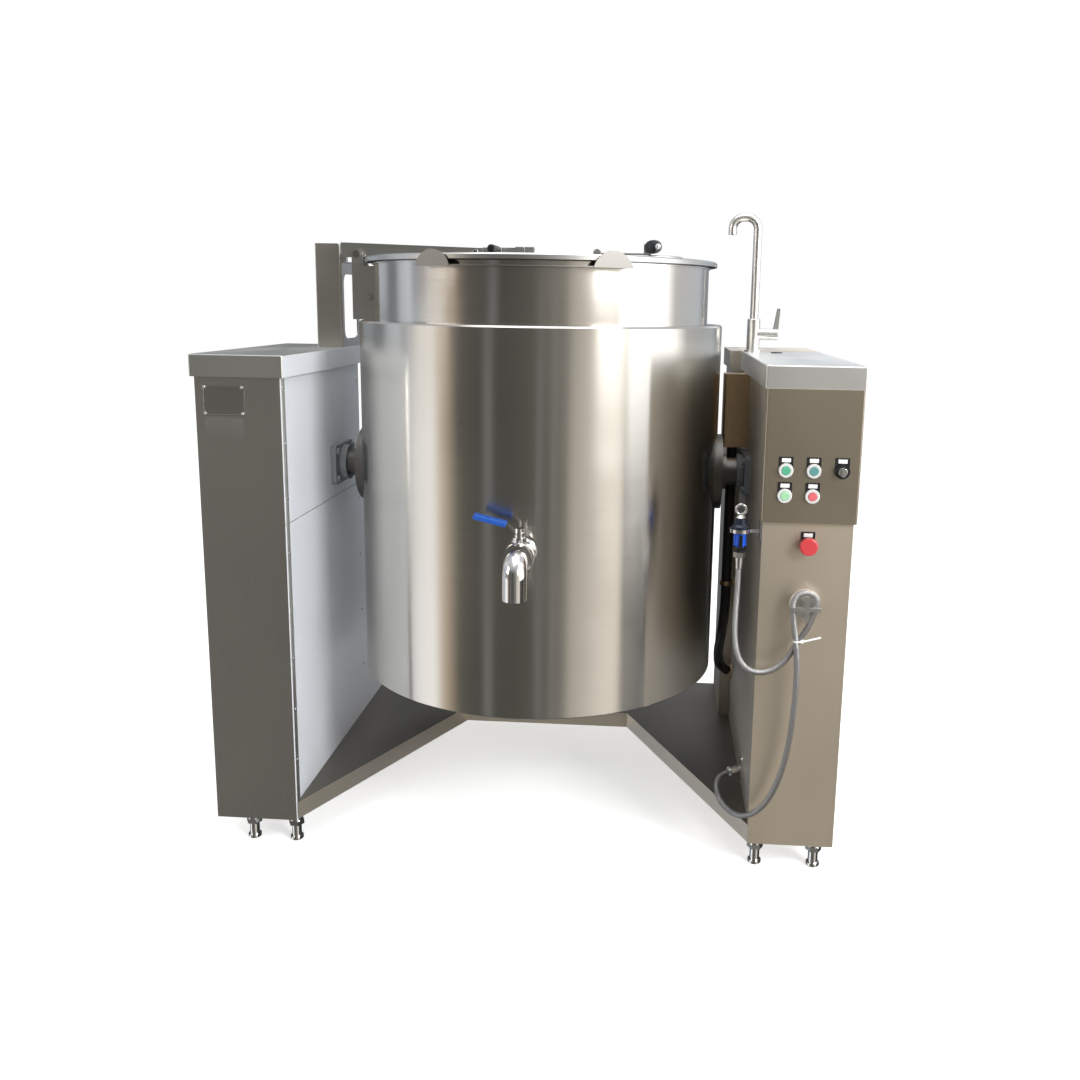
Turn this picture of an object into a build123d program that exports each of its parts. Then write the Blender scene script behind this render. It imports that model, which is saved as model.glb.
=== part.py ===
"""Tilting steam-jacketed kettle between two consoles, about 300 litres.

Frame: origin on the floor under the kettle's axis, +Z up, +X to the operator's right,
+Y away from the operator. All lengths are in millimetres.
"""
from build123d import *
from math import cos, radians, sin, tan
import os

os.makedirs("parts", exist_ok=True)

# ---------------------------------------------------------------- driving dimensions
# kettle vessel
jacket_r = 450.0  # outer cladding
jacket_sheet = 3.0
jacket_bottom_z = 370.0
bottom_lip_h = 22.0
shoulder_z = 1243.0
shoulder_w = 37.0  # step from the cladding in to the neck
neck_h = 137.0
neck_sheet = 2.5
neck_r = jacket_r - shoulder_w
rim_z = shoulder_z + neck_h
rim_overhang = 4.0
rim_flange_r = neck_r + rim_overhang
pan_inset = 13.0  # from the neck's outside to the pan's inside
pan_r = neck_r - pan_inset
pan_sheet = 4.0
pan_floor_z = 700.0
pan_corner_r = 35.0
steam_sheet = 5.0
steam_space = 21.0  # between the pan and the pressure jacket
steam_r = pan_r + pan_sheet + steam_space + steam_sheet
steam_gap_below = 50.0
steam_top_z = 1120.0
steam_corner_r = 60.0

# consoles
kettle_clearance = 80.0  # between the cladding and a console
console_w = 195.0
console_in_x = jacket_r + kettle_clearance  # face towards the kettle
console_out_x = console_in_x + console_w
console_front_y = -405.0
console_bottom_z = 72.0
cap_top_z = 1170.0
cap_skirt = 49.0
cap_over = 8.5
sheet = 2.0
left_top_rear_y = 190.0
left_step_z = 790.0
rear_y = 490.0
right_seam_y = 242.0
rear_cabinet_over = 30.0  # how far the rear cabinet reaches in towards the kettle
rear_cabinet_in_x = console_in_x - rear_cabinet_over
panel_fold = 15.0

# tilting axis, along X
tilt_z = 875.0
shaft_r = 35.0
running_gap = 0.05
shaft_end_x = console_in_x + 70.0
boss_r = 95.0
boss_proud = 12.0
boss_face_x = jacket_r + boss_proud
spigot_r = 25.0
steam_bore_r = 17.0

# base between the consoles
base_bottom_z = 75.0
deck_z = 118.0
deck_sheet = 3.0
throat_x = 235.0
throat_y = 220.0
socket_r = 19.0
socket_h = 32.0
bullet_r = 11.5
left_foot_x = (70.0 - console_out_x, -20.0 - console_in_x)
right_foot_x = (console_in_x + 24.0, console_out_x - 35.0)
foot_y = (console_front_y + 47.0, rear_y - 50.0)

# lid, its arm and its hinge
lid_h = 12.0
lid_top_z = rim_z + 13.0
lid_skirt_z = lid_top_z - lid_h
lid_over = 20.0  # how far the lid reaches past the neck
lid_r = neck_r + lid_over
hinge_out = 49.0
hinge_x = -(neck_r + hinge_out)
hinge_z = lid_top_z + 11.0
hinge_pin_r = 6.0
arm_half_w = 18.0
arm_tail_x = 25.0 - console_in_x
arm_end_x = -148.0
arm_h = 39.0
arm_top_z = lid_top_z + arm_h
arm_end_top_z = arm_top_z - 10.0
arm_wall = 4.0
cheek_gap = 1.3
cheek_t = 8.0
head_x = (-66.0, -21.0)
head_top_z = lid_top_z + 33.0

# post with the lid rest, on the left console
post_x = (-60.0 - console_in_x, 5.0 - console_in_x)
post_y = (35.0, 62.0)
post_top_z = arm_top_z
rest_rear_y = left_top_rear_y
rest_top_z = lid_top_z - 5.0
rest_window_y = (post_y[0] + 19.0, rest_rear_y - 18.0)
rest_window_z = (cap_top_z + 21.0, rest_top_z - 32.0)
rest_window_r = min(24.0, (rest_window_z[1] - rest_window_z[0]) / 2 - 1)

# hatch in the lid
hatch_inset = 150.0  # from the pan's wall to the hatch's centre
hatch_x = pan_r - hatch_inset
hatch_hole_r = 88.0
hatch_r = hatch_hole_r + 10.0
hatch_hinge_x = hatch_x - hatch_r - 15.0
hatch_hinge_z = lid_top_z + 21.0

# drain valve
drain_x = 10.0
drain_z = pan_floor_z + 60.0
drain_pipe_r = 25.5
drain_wall = 2.0
valve_out = 40.0  # from the cladding to the ball's centre
valve_y = -(jacket_r + valve_out)
valve_body_r = 33.0
ball_r = 27.0
ball_bore_r = 20.0
valve_collar_y = (valve_y - 45.0, valve_y - 29.0)
elbow_r = 34.0
spout_y = valve_collar_y[0] - elbow_r - 3.0
spout_drop = 75.0
spout_bottom_z = drain_z - spout_drop

# controls
box_h = 288.0
box_top_z = cap_top_z - cap_skirt
box_bottom_z = box_top_z - box_h
box_depth = 12.0
box_side = 5.0
button_x = (console_in_x + 42.0, console_in_x + 101.0)
button_z = (box_bottom_z + 115.0, box_bottom_z + 60.0)
button_rows = [(x, z) for z in button_z for x in button_x]
selector_at = (console_out_x - 34.0, button_z[0])
estop_at = (console_in_x + 99.0, box_bottom_z - 50.0)
bezel_r = 15.5
barrel_r = 11.0
bezel_bore_r = 9.8
cap_r = 9.5
press_travel = 4.0
holder_w = 30.0
holder_t = 2.0
holder_up = 29.0

# faucet on the right console
faucet_x = console_in_x + 18.0
faucet_y = 205.0
faucet_r = 17.0
faucet_h = 87.0
faucet_top_z = cap_top_z + faucet_h
riser_r = 11.0
spout_rise = 274.0
spout_z = faucet_top_z + spout_rise
spout_reach = 66.0
spout_bend = 33.0
spout_mouth_z = spout_z - 56.0
tap_z = cap_top_z + 47.0

# spray gun and its hose
gun_x = console_in_x - 45.0
gun_y = -380.0
gun_r = 14.0
holder_ring_z = 806.0
hook_at = (estop_at[0], box_bottom_z - 183.0)
rosette_r = 33.0
hose_r = 6.5


def save(piece, name):
    """Label a finished piece and write it to its own file."""
    piece.label = name
    export_step(piece, f"parts/{name}.step")


UPRIGHT = (Align.CENTER, Align.CENTER, Align.MIN)


def drum(radius, z_low, z_high, at=(0, 0), mode=Mode.ADD):
    """A round bar along Z, in the part being built."""
    with Locations((*at, z_low)):
        Cylinder(radius, z_high - z_low, align=UPRIGHT, mode=mode)


def ring(outer_r, inner_r, z_low, z_high):
    """A plain ring about the Z axis, in the part being built."""
    with BuildSketch(Plane.XY.offset(z_low)) as section:
        Circle(outer_r)
        Circle(inner_r, mode=Mode.SUBTRACT)
    extrude(section.sketch, amount=z_high - z_low)


def block(x, y, z, mode=Mode.ADD):
    """A box between two corners, given as pairs along each axis, in the part being built."""
    with Locations(((x[0] + x[1]) / 2, (y[0] + y[1]) / 2, (z[0] + z[1]) / 2)):
        Box(x[1] - x[0], y[1] - y[0], z[1] - z[0], mode=mode)


def rod_y(x, z, y, radius, mode=Mode.ADD):
    """A round bar along Y, from y[0] to y[1], in the part being built."""
    with Locations(Plane((x, y[0], z), z_dir=(0, 1, 0))):
        Cylinder(radius, y[1] - y[0], align=UPRIGHT, mode=mode)


def rod_x(y, z, x, radius, mode=Mode.ADD):
    """A round bar along X, from x[0] to x[1], in the part being built."""
    with Locations(Plane((x[0], y, z), z_dir=(1, 0, 0))):
        Cylinder(radius, x[1] - x[0], align=UPRIGHT, mode=mode)


# ---------------------------------------------------------------- base and feet
def base_wing(side):
    """The folded tray between a console and the throat under the kettle."""
    inner = side * console_in_x
    corners = [(inner, console_front_y), (side * throat_x, throat_y),
               (side * throat_x, rear_y), (inner, rear_y)]
    with BuildPart() as wing:
        with BuildSketch(Plane.XY.offset(base_bottom_z)):
            with BuildLine():
                Polyline(*corners, close=True)
            make_face()
        extrude(amount=deck_z - base_bottom_z)
        offset(amount=-deck_sheet, openings=wing.faces().sort_by(Axis.Z)[0], kind=Kind.INTERSECTION)
    return wing.part


save(base_wing(-1), "base_wing_left")
save(base_wing(1), "base_wing_right")

with BuildPart() as centre_deck:
    with BuildSketch(Plane.XY.offset(base_bottom_z)):
        with Locations((0, (throat_y + rear_y) / 2)):
            Rectangle(2 * throat_x, rear_y - throat_y)
    extrude(amount=deck_z - base_bottom_z)
    offset(amount=-deck_sheet, openings=centre_deck.faces().sort_by(Axis.Z)[0], kind=Kind.INTERSECTION)
save(centre_deck.part, "base_centre_deck")

foot_spots = [(x, y) for x in left_foot_x + right_foot_x for y in foot_y]
socket_bottom_z = console_bottom_z - socket_h
with BuildPart() as foot_sockets:
    with BuildSketch(Plane.XY.offset(socket_bottom_z)):
        with Locations(*foot_spots):
            RegularPolygon(socket_r, 6)
            Circle(bullet_r / 2 + 0.3, mode=Mode.SUBTRACT)
    extrude(amount=socket_h / 3)
    with BuildSketch(Plane.XY.offset(socket_bottom_z + socket_h / 3)):
        with Locations(*foot_spots):
            Circle(socket_r * 0.84)
            Circle(bullet_r / 2 + 0.3, mode=Mode.SUBTRACT)
    extrude(amount=socket_h * 2 / 3)
save(foot_sockets.part, "foot_sockets")

with BuildPart() as foot_bullets:
    with BuildSketch(Plane.XY):
        with Locations(*foot_spots):
            Circle(bullet_r + 4)
    extrude(amount=9)
    with BuildSketch(Plane.XY.offset(9)):
        with Locations(*foot_spots):
            Circle(bullet_r)
    extrude(amount=socket_bottom_z - 9)
    with BuildSketch(Plane.XY.offset(socket_bottom_z)):
        with Locations(*foot_spots):
            Circle(bullet_r / 2)
    extrude(amount=socket_h * 0.75)
    chamfer(foot_bullets.edges().group_by(Axis.Z)[0], 2.5)
save(foot_bullets.part, "foot_bullets")

# ---------------------------------------------------------------- left console
cap_underside_z = cap_top_z - sheet
panel_in_x = console_in_x + sheet

with BuildPart() as left_shell:
    with BuildSketch(Plane.YZ.offset(-console_out_x)):
        with BuildLine():
            Polyline((console_front_y, console_bottom_z), (rear_y, console_bottom_z),
                     (rear_y, left_step_z), (left_top_rear_y, left_step_z),
                     (left_top_rear_y, cap_underside_z), (console_front_y, cap_underside_z), close=True)
        make_face()
    extrude(amount=console_out_x - panel_in_x)
    offset(amount=-sheet, kind=Kind.INTERSECTION,
           openings=[left_shell.faces().sort_by(Axis.Z)[-1], left_shell.faces().sort_by(Axis.X)[-1]])
save(left_shell.part, "left_console_shell")


def inner_panel(y, z, hole):
    """A flat cover on the kettle side of the left console, with a return fold at its front."""
    with BuildPart() as panel:
        block((-panel_in_x, -console_in_x), y, z)
        fold_y = (y[0] + sheet + 0.3, y[0] + 2 * sheet + 0.3)
        fold_z = (z[0] + sheet + 2, z[1] - sheet - 2)
        block((-panel_in_x - panel_fold, -panel_in_x), fold_y, fold_z)
        if hole:
            rod_x(0, tilt_z, (-panel_in_x - 1, -console_in_x + 1), hole, mode=Mode.SUBTRACT)
    return panel.part


panel_seam = 2.0
save(inner_panel((console_front_y, left_top_rear_y), (left_step_z + panel_seam, cap_underside_z),
                 shaft_r + 5), "left_panel_upper")
save(inner_panel((console_front_y, rear_y), (console_bottom_z, left_step_z), 0), "left_panel_lower")


def cap(x, y):
    """A folded lid over a console, open below."""
    with BuildPart() as cover:
        block(x, y, (cap_top_z - cap_skirt, cap_top_z))
        fillet(cover.edges().filter_by(Axis.Z), 4)
        fillet(cover.edges().group_by(Axis.Z)[-1], 3)
        offset(amount=-sheet, openings=cover.faces().sort_by(Axis.Z)[0])
    return cover.part


cap_in_x = console_in_x - cap_over
cap_out_x = console_out_x + cap_over
cap_front_y = console_front_y - cap_over
save(cap((-cap_out_x, -cap_in_x), (cap_front_y, left_top_rear_y + cap_over)), "left_console_cap")

# ---------------------------------------------------------------- right console
box_front_y = console_front_y - box_depth
box_x = (console_in_x - box_side, console_out_x + box_side)
window_margin = 18.0
steam_pipe_r = 16.85
steam_stub_y = drain_pipe_r - spout_y  # as far behind the kettle's axis as the spout is in front
pipe_x = console_in_x + 90.0
pipe_gap = 3.0
right_shell_rear_y = right_seam_y - cap_over

with BuildPart() as right_shell:
    block((console_in_x, console_out_x), (console_front_y, right_shell_rear_y),
          (console_bottom_z, cap_underside_z))
    offset(amount=-sheet, openings=right_shell.faces().sort_by(Axis.Z)[-1], kind=Kind.INTERSECTION)
    # window behind the control box, for the contact blocks
    block((console_in_x + window_margin, console_out_x - window_margin),
          (console_front_y - 1, console_front_y + sheet + 1),
          (box_bottom_z + window_margin, box_top_z - window_margin), mode=Mode.SUBTRACT)
    rod_y(*estop_at, (console_front_y - 1, console_front_y + sheet + 1), barrel_r + 0.1,
          mode=Mode.SUBTRACT)
    rod_x(0, tilt_z, (console_in_x - 1, console_in_x + sheet + 1), shaft_r + 5, mode=Mode.SUBTRACT)
    rod_y(pipe_x, tilt_z, (right_shell_rear_y - sheet - 1, right_shell_rear_y + 1),
          steam_pipe_r + pipe_gap, mode=Mode.SUBTRACT)
save(right_shell.part, "right_console_shell")

save(cap((cap_in_x, cap_out_x), (cap_front_y, right_seam_y)), "right_console_cap")

rear_cabinet_front_y = right_seam_y + 0.5
with BuildPart() as rear_cabinet:
    block((rear_cabinet_in_x, console_out_x), (rear_cabinet_front_y, rear_y),
          (console_bottom_z, cap_top_z - cap_skirt))
    block((rear_cabinet_in_x - cap_over, cap_out_x), (rear_cabinet_front_y, rear_y + cap_over),
          (cap_top_z - cap_skirt, cap_top_z))
    block((rear_cabinet_in_x + sheet, console_out_x - sheet),
          (rear_cabinet_front_y + sheet, rear_y - sheet),
          (console_bottom_z + sheet, cap_top_z - cap_skirt), mode=Mode.SUBTRACT)
    block((rear_cabinet_in_x - cap_over + sheet, cap_out_x - sheet),
          (rear_cabinet_front_y + sheet, rear_y + cap_over - sheet),
          (cap_top_z - cap_skirt + sheet, cap_underside_z), mode=Mode.SUBTRACT)
    rod_y(pipe_x, tilt_z, (rear_cabinet_front_y - 1, rear_y + 1), steam_pipe_r + pipe_gap,
          mode=Mode.SUBTRACT)
    # the base tray runs under the overhang towards the kettle
    block((rear_cabinet_in_x - 1, console_in_x), (rear_cabinet_front_y - 1, rear_y + 1),
          (console_bottom_z - 1, deck_z), mode=Mode.SUBTRACT)
    block((rear_cabinet_in_x, console_in_x + sheet), (rear_cabinet_front_y, rear_y),
          (deck_z, deck_z + sheet))
    block((console_in_x, console_in_x + sheet), (rear_cabinet_front_y, rear_y),
          (console_bottom_z, deck_z + sheet))
save(rear_cabinet.part, "right_rear_cabinet")

with BuildPart() as control_box:
    block(box_x, (box_front_y, console_front_y), (box_bottom_z, box_top_z))
    fillet(control_box.edges().filter_by(Axis.Z).group_by(Axis.Y)[0], 4)
    offset(amount=-sheet, openings=control_box.faces().sort_by(Axis.Y)[-1])
    for spot in [*button_rows, selector_at]:
        rod_y(*spot, (box_front_y - 1, box_front_y + sheet + 1), barrel_r + 0.1, mode=Mode.SUBTRACT)
save(control_box.part, "control_box")

# ---------------------------------------------------------------- push buttons and selector
bezel_depth = 6.0
barrel_len = 16.0
box_controls = [(x, z, box_front_y) for x, z in button_rows]
selector_spot = (*selector_at, box_front_y)
estop_spot = (*estop_at, console_front_y)
all_controls = box_controls + [selector_spot, estop_spot]


def barrel_rear(face_y):
    """Where a control's threaded barrel ends, behind its sheet."""
    return face_y + sheet + barrel_len


with BuildPart() as bezels:
    for x, z, face_y in box_controls:
        ring_y = (face_y - holder_t - bezel_depth, face_y - holder_t)
        rod_y(x, z, ring_y, bezel_r)
        rod_y(x, z, (face_y - holder_t, barrel_rear(face_y)), barrel_r)
    fillet(bezels.edges().group_by(Axis.Y)[0], 2)
    for x, z, face_y in box_controls:
        rod_y(x, z, (face_y - holder_t - bezel_depth - 1, barrel_rear(face_y) + 1), bezel_bore_r,
              mode=Mode.SUBTRACT)
save(bezels.part, "button_bezels")

with BuildPart() as holders:
    for x, z, face_y in all_controls:
        block((x - holder_w / 2, x + holder_w / 2), (face_y - holder_t, face_y),
              (z - holder_w / 4, z + holder_up))
        rod_y(x, z, (face_y - holder_t, face_y), holder_w / 2)
    for x, z, face_y in (selector_spot, estop_spot):
        rod_y(x, z, (face_y - holder_t - bezel_depth, face_y - holder_t), bezel_r)
        rod_y(x, z, (face_y - holder_t, barrel_rear(face_y)), barrel_r)
    for x, z, face_y in box_controls:
        rod_y(x, z, (face_y - holder_t - 1, face_y + 1), barrel_r + 0.1, mode=Mode.SUBTRACT)
    for x, z, face_y in (selector_spot, estop_spot):
        rod_y(x, z, (face_y - holder_t - bezel_depth - 1, barrel_rear(face_y) + 1), bezel_bore_r,
              mode=Mode.SUBTRACT)
save(holders.part, "legend_holders")

with BuildPart() as contact_blocks:
    for x, z, face_y in all_controls:
        rear = barrel_rear(face_y)
        block((x - 14, x + 14), (rear, rear + 34), (z - 20, z + 20))
    fillet(contact_blocks.edges().filter_by(Axis.Y), 2)
save(contact_blocks.part, "contact_blocks")


def push_button(x, z, face_y):
    """A round push button that stands a little out of its bezel."""
    front = face_y - holder_t - bezel_depth - 2
    with BuildPart() as button:
        rod_y(x, z, (front, barrel_rear(face_y) - press_travel - 1), cap_r)
        fillet(button.edges().group_by(Axis.Y)[0], 1.5)
    return button.part


button_names = ("start_button", "tilt_up_button", "tilt_down_button", "stop_button")
for button_name, (x, z, face_y) in zip(button_names, box_controls):
    save(push_button(x, z, face_y), button_name)

mushroom_r = 19.5
mushroom_t = 13.0
estop_travel = 5.0
with BuildPart() as estop:
    x, z, face_y = estop_spot
    collar_y = face_y - holder_t - bezel_depth
    head_y = (collar_y - estop_travel - 1 - mushroom_t, collar_y - estop_travel - 1)
    rod_y(x, z, head_y, mushroom_r)
    fillet(estop.edges().group_by(Axis.Y)[0], 5)
    fillet(estop.edges().group_by(Axis.Y)[-1], 2)
    rod_y(x, z, (head_y[1], barrel_rear(face_y) - estop_travel - 1), cap_r)
save(estop.part, "emergency_stop_button")

with BuildPart() as selector:
    x, z, face_y = selector_spot
    front = face_y - holder_t - bezel_depth
    rod_y(x, z, (front - 4, barrel_rear(face_y) - 1), cap_r)
    fillet(selector.edges().group_by(Axis.Y)[0], 1)
    block((x - 3.5, x + 3.5), (front - 13, front - 4), (z - cap_r + 0.5, z + cap_r - 0.5))
save(selector.part, "selector_knob")

# ---------------------------------------------------------------- lid rest post
with BuildPart() as post:
    block(post_x, post_y, (cap_top_z, post_top_z))
    fillet(post.edges().filter_by(Axis.Z).group_by(Axis.Y)[0], 3)
    block((post_x[0] + 3, post_x[1] - 3), (post_y[0] + 3, post_y[1] + 1),
          (cap_top_z - 1, post_top_z - 3), mode=Mode.SUBTRACT)
save(post.part, "rest_post")

with BuildPart() as rest_frame:
    with BuildSketch(Plane.YZ.offset(post_x[1])):
        frame_y = (post_y[0] + 3, rest_rear_y)
        with Locations(((frame_y[0] + frame_y[1]) / 2, (cap_top_z + rest_top_z) / 2)):
            Rectangle(frame_y[1] - frame_y[0], rest_top_z - cap_top_z)
        with Locations((sum(rest_window_y) / 2, sum(rest_window_z) / 2)):
            RectangleRounded(rest_window_y[1] - rest_window_y[0], rest_window_z[1] - rest_window_z[0],
                             rest_window_r, mode=Mode.SUBTRACT)
    extrude(amount=3)
    # stiffening fold along the top, and the pad that an over-swung arm meets
    block((post_x[1] + 3, post_x[1] + 9), (frame_y[0], rest_rear_y), (rest_top_z - 3, rest_top_z))
    block((post_x[1], post_x[1] + 14), (post_y[0] + 5, post_y[1] - 4), (rest_top_z, rest_top_z + 18))
save(rest_frame.part, "rest_frame")

# ---------------------------------------------------------------- bearings, gear motor, steam feed
bearing_x = (console_in_x - 30.0, console_in_x)
bearing_plate = 14.0
bearing_hub_r = 45.0


def bearing(side):
    """A flanged bearing housing on a console's inner face."""
    with BuildPart() as housing:
        with BuildSketch(Plane.YZ.offset(side * console_in_x)):
            with Locations((0, tilt_z)):
                RectangleRounded(150, 100, 12)
        extrude(amount=-side * bearing_plate)
        hub = sorted((side * bearing_x[0], side * bearing_x[1]))
        rod_x(0, tilt_z, hub, bearing_hub_r)
        plate_x = console_in_x - bearing_plate
        bolt = sorted((side * plate_x, side * (plate_x - 7)))
        for y in (-60, 60):
            for z in (-35, 35):
                rod_x(y, tilt_z + z, bolt, 8)
        rod_x(0, tilt_z, (hub[0] - 1, hub[1] + 1), shaft_r + running_gap, mode=Mode.SUBTRACT)
    return housing.part


save(bearing(-1), "bearing_left")
save(bearing(1), "bearing_right")

gearbox_x = (-110.0 - console_in_x, -panel_in_x)
motor_x = -58.0 - console_in_x
motor_hang = 275.0  # from the shaft down to the motor's foot
motor_low_z = tilt_z - motor_hang
with BuildPart() as gear_motor:
    block(gearbox_x, (-80, 80), (tilt_z - 75, tilt_z + 85))
    fillet(gear_motor.edges().filter_by(Axis.X), 18)
    drum(50, motor_low_z, tilt_z - 75, at=(motor_x, 0))
    drum(54, motor_low_z - 10, motor_low_z + 14, at=(motor_x, 0))
    rod_x(0, tilt_z, (-shaft_end_x - 2, -panel_in_x + 1), shaft_r + running_gap, mode=Mode.SUBTRACT)
save(gear_motor.part, "tilt_gear_motor")

union_x = (console_in_x + 30.0, console_in_x + 120.0)
with BuildPart() as steam_pipe:
    rod_x(0, tilt_z, union_x, 50)
    fillet(steam_pipe.edges().filter_by(GeomType.CIRCLE), 4)
    rod_y(pipe_x, tilt_z, (0, steam_stub_y), steam_pipe_r)
    rod_y(pipe_x, tilt_z, (rear_y + 2, rear_y + 22), steam_pipe_r + 8)
    rod_y(pipe_x, tilt_z, (0, steam_stub_y + 1), steam_pipe_r - 3, mode=Mode.SUBTRACT)
    rod_x(0, tilt_z, (union_x[0] - 1, shaft_end_x + 2), shaft_r + running_gap, mode=Mode.SUBTRACT)
    rod_x(0, tilt_z, (shaft_end_x, pipe_x), steam_bore_r, mode=Mode.SUBTRACT)
save(steam_pipe.part, "steam_inlet_pipe")

# ---------------------------------------------------------------- kettle vessel
def trunnion(side):
    """Shaft with a saddle-shaped boss on the cladding and a spigot to the steam jacket."""
    with BuildPart() as shaft:
        boss = sorted((side * (jacket_r - 20), side * boss_face_x))
        rod_x(0, tilt_z, boss, boss_r)
        drum(jacket_r, tilt_z - 2 * boss_r, tilt_z + 2 * boss_r, mode=Mode.SUBTRACT)
        rod_x(0, tilt_z, sorted((side * (boss_face_x - 5), side * shaft_end_x)), shaft_r)
        rod_x(0, tilt_z, sorted((side * (boss_face_x - 5), side * (boss_face_x + 12))), shaft_r + 10)
        rod_x(0, tilt_z, sorted((side * (steam_r + 1), side * (boss_face_x - 5))), spigot_r)
        bore = sorted((side * (steam_r - 2), side * (shaft_end_x + 1)))
        if side > 0:
            rod_x(0, tilt_z, bore, steam_bore_r, mode=Mode.SUBTRACT)
    return shaft.part


save(trunnion(-1), "trunnion_left")
save(trunnion(1), "trunnion_right")

jacket_skin_z = jacket_bottom_z + jacket_sheet
with BuildPart() as jacket:
    with BuildSketch(Plane.XZ):
        with BuildLine():
            Polyline((jacket_r, jacket_skin_z), (jacket_r, shoulder_z - 4), (jacket_r - 4, shoulder_z),
                     (neck_r - neck_sheet, shoulder_z), (neck_r - neck_sheet, shoulder_z - jacket_sheet),
                     (jacket_r - jacket_sheet, shoulder_z - jacket_sheet),
                     (jacket_r - jacket_sheet, jacket_skin_z), close=True)
        make_face()
    revolve(axis=Axis.Z)
    rod_x(0, tilt_z, (-jacket_r - 5, jacket_r + 5), spigot_r + running_gap, mode=Mode.SUBTRACT)
    rod_y(drain_x, drain_z, (-jacket_r - 5, 0), drain_pipe_r + running_gap, mode=Mode.SUBTRACT)
save(jacket.part, "jacket_cladding")

with BuildPart() as bottom_cover:
    lip_r = jacket_r - jacket_sheet
    with BuildSketch(Plane.XZ):
        with BuildLine():
            Polyline((0, jacket_bottom_z), (jacket_r - 3, jacket_bottom_z),
                     (jacket_r, jacket_bottom_z + jacket_sheet),
                     (lip_r, jacket_bottom_z + jacket_sheet),
                     (lip_r, jacket_bottom_z + bottom_lip_h),
                     (lip_r - jacket_sheet, jacket_bottom_z + bottom_lip_h),
                     (lip_r - jacket_sheet, jacket_bottom_z + jacket_sheet),
                     (0, jacket_bottom_z + jacket_sheet), close=True)
        make_face()
    revolve(axis=Axis.Z)
save(bottom_cover.part, "jacket_bottom_cover")

rim_t = 4.0
with BuildPart() as neck_band:
    ring(neck_r, neck_r - neck_sheet, shoulder_z, rim_z - rim_t)
save(neck_band.part, "neck_band")


def dished_wall(radius, wall, floor_z, top_z, corner_r):
    """Half section of an upright vessel with a flat floor and a rounded corner."""
    inner = radius - corner_r
    with BuildSketch(Plane.XZ) as section:
        with BuildLine():
            Line((0, floor_z), (inner, floor_z))
            RadiusArc((inner, floor_z), (radius, floor_z + corner_r), -corner_r)
            Line((radius, floor_z + corner_r), (radius, top_z))
            Line((radius, top_z), (radius + wall, top_z))
            Line((radius + wall, top_z), (radius + wall, floor_z + corner_r))
            RadiusArc((radius + wall, floor_z + corner_r), (inner, floor_z - wall), corner_r + wall)
            Line((inner, floor_z - wall), (0, floor_z - wall))
            Line((0, floor_z - wall), (0, floor_z))
        make_face()
    return section.sketch


with BuildPart() as pan:
    add(dished_wall(pan_r, pan_sheet, pan_floor_z, rim_z, pan_corner_r))
    revolve(axis=Axis.Z)
    ring(rim_flange_r, pan_r, rim_z - rim_t, rim_z)
    fillet(pan.edges().group_by(Axis.Z)[-1].sort_by(SortBy.LENGTH)[-1], 1.5)
    rod_y(drain_x, drain_z, (-jacket_r, 0), drain_pipe_r + running_gap, mode=Mode.SUBTRACT)
save(pan.part, "cooking_pan")

with BuildPart() as steam_jacket:
    add(dished_wall(steam_r - steam_sheet, steam_sheet, pan_floor_z - steam_gap_below,
                    steam_top_z, steam_corner_r))
    revolve(axis=Axis.Z)
    ring(steam_r, pan_r + pan_sheet, steam_top_z - steam_sheet, steam_top_z)
    rod_y(drain_x, drain_z, (-jacket_r, 0), drain_pipe_r + running_gap, mode=Mode.SUBTRACT)
    rod_x(0, tilt_z, (0, steam_r + 5), steam_bore_r, mode=Mode.SUBTRACT)
save(steam_jacket.part, "steam_jacket")

# ---------------------------------------------------------------- pouring lip with its two side guards
lip_z = rim_z - 14.0
lip_t = 2.5
lip_outer_r = neck_r + 24.0
guard_angle = 26.5
guard_half = 46.0
guard_rise = 35.0
guard_disc_r = (guard_half ** 2 + guard_rise ** 2) / (2 * guard_rise)
guard_t = 2.0
lip_half_angle = guard_angle + 5.5

with BuildPart() as lip:
    with BuildSketch(Plane.XY.offset(lip_z)):
        Circle(lip_outer_r)
        Circle(neck_r, mode=Mode.SUBTRACT)
        with BuildLine():
            reach = 2 * lip_outer_r
            spread = reach * tan(radians(lip_half_angle))
            Polyline((0, 0), (spread, -reach), (-spread, -reach), close=True)
        make_face(mode=Mode.INTERSECT)
    extrude(amount=lip_t)
    for side in (-1, 1):
        turn = radians(guard_angle) * side
        outward = Vector(sin(turn), -cos(turn), 0)
        foot = outward * (lip_outer_r - guard_t)
        guard_plane = Plane(Vector(foot.X, foot.Y, lip_z), x_dir=(cos(turn), sin(turn), 0),
                            z_dir=(outward.X, outward.Y, 0))
        with BuildSketch(guard_plane):
            with Locations((0, guard_rise - guard_disc_r)):
                Circle(guard_disc_r)
            with Locations((0, -guard_disc_r)):
                Rectangle(4 * guard_disc_r, 2 * guard_disc_r, mode=Mode.SUBTRACT)
        extrude(amount=guard_t)
save(lip.part, "pouring_lip")

# ---------------------------------------------------------------- lid hinge bracket on the neck
cheek_in_y = arm_half_w + cheek_gap
cheek_out_y = cheek_in_y + cheek_t
ear_r = 14.0
bracket_z = (shoulder_z, rim_z - rim_t - 1)
bracket_x = hinge_x - ear_r

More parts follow.
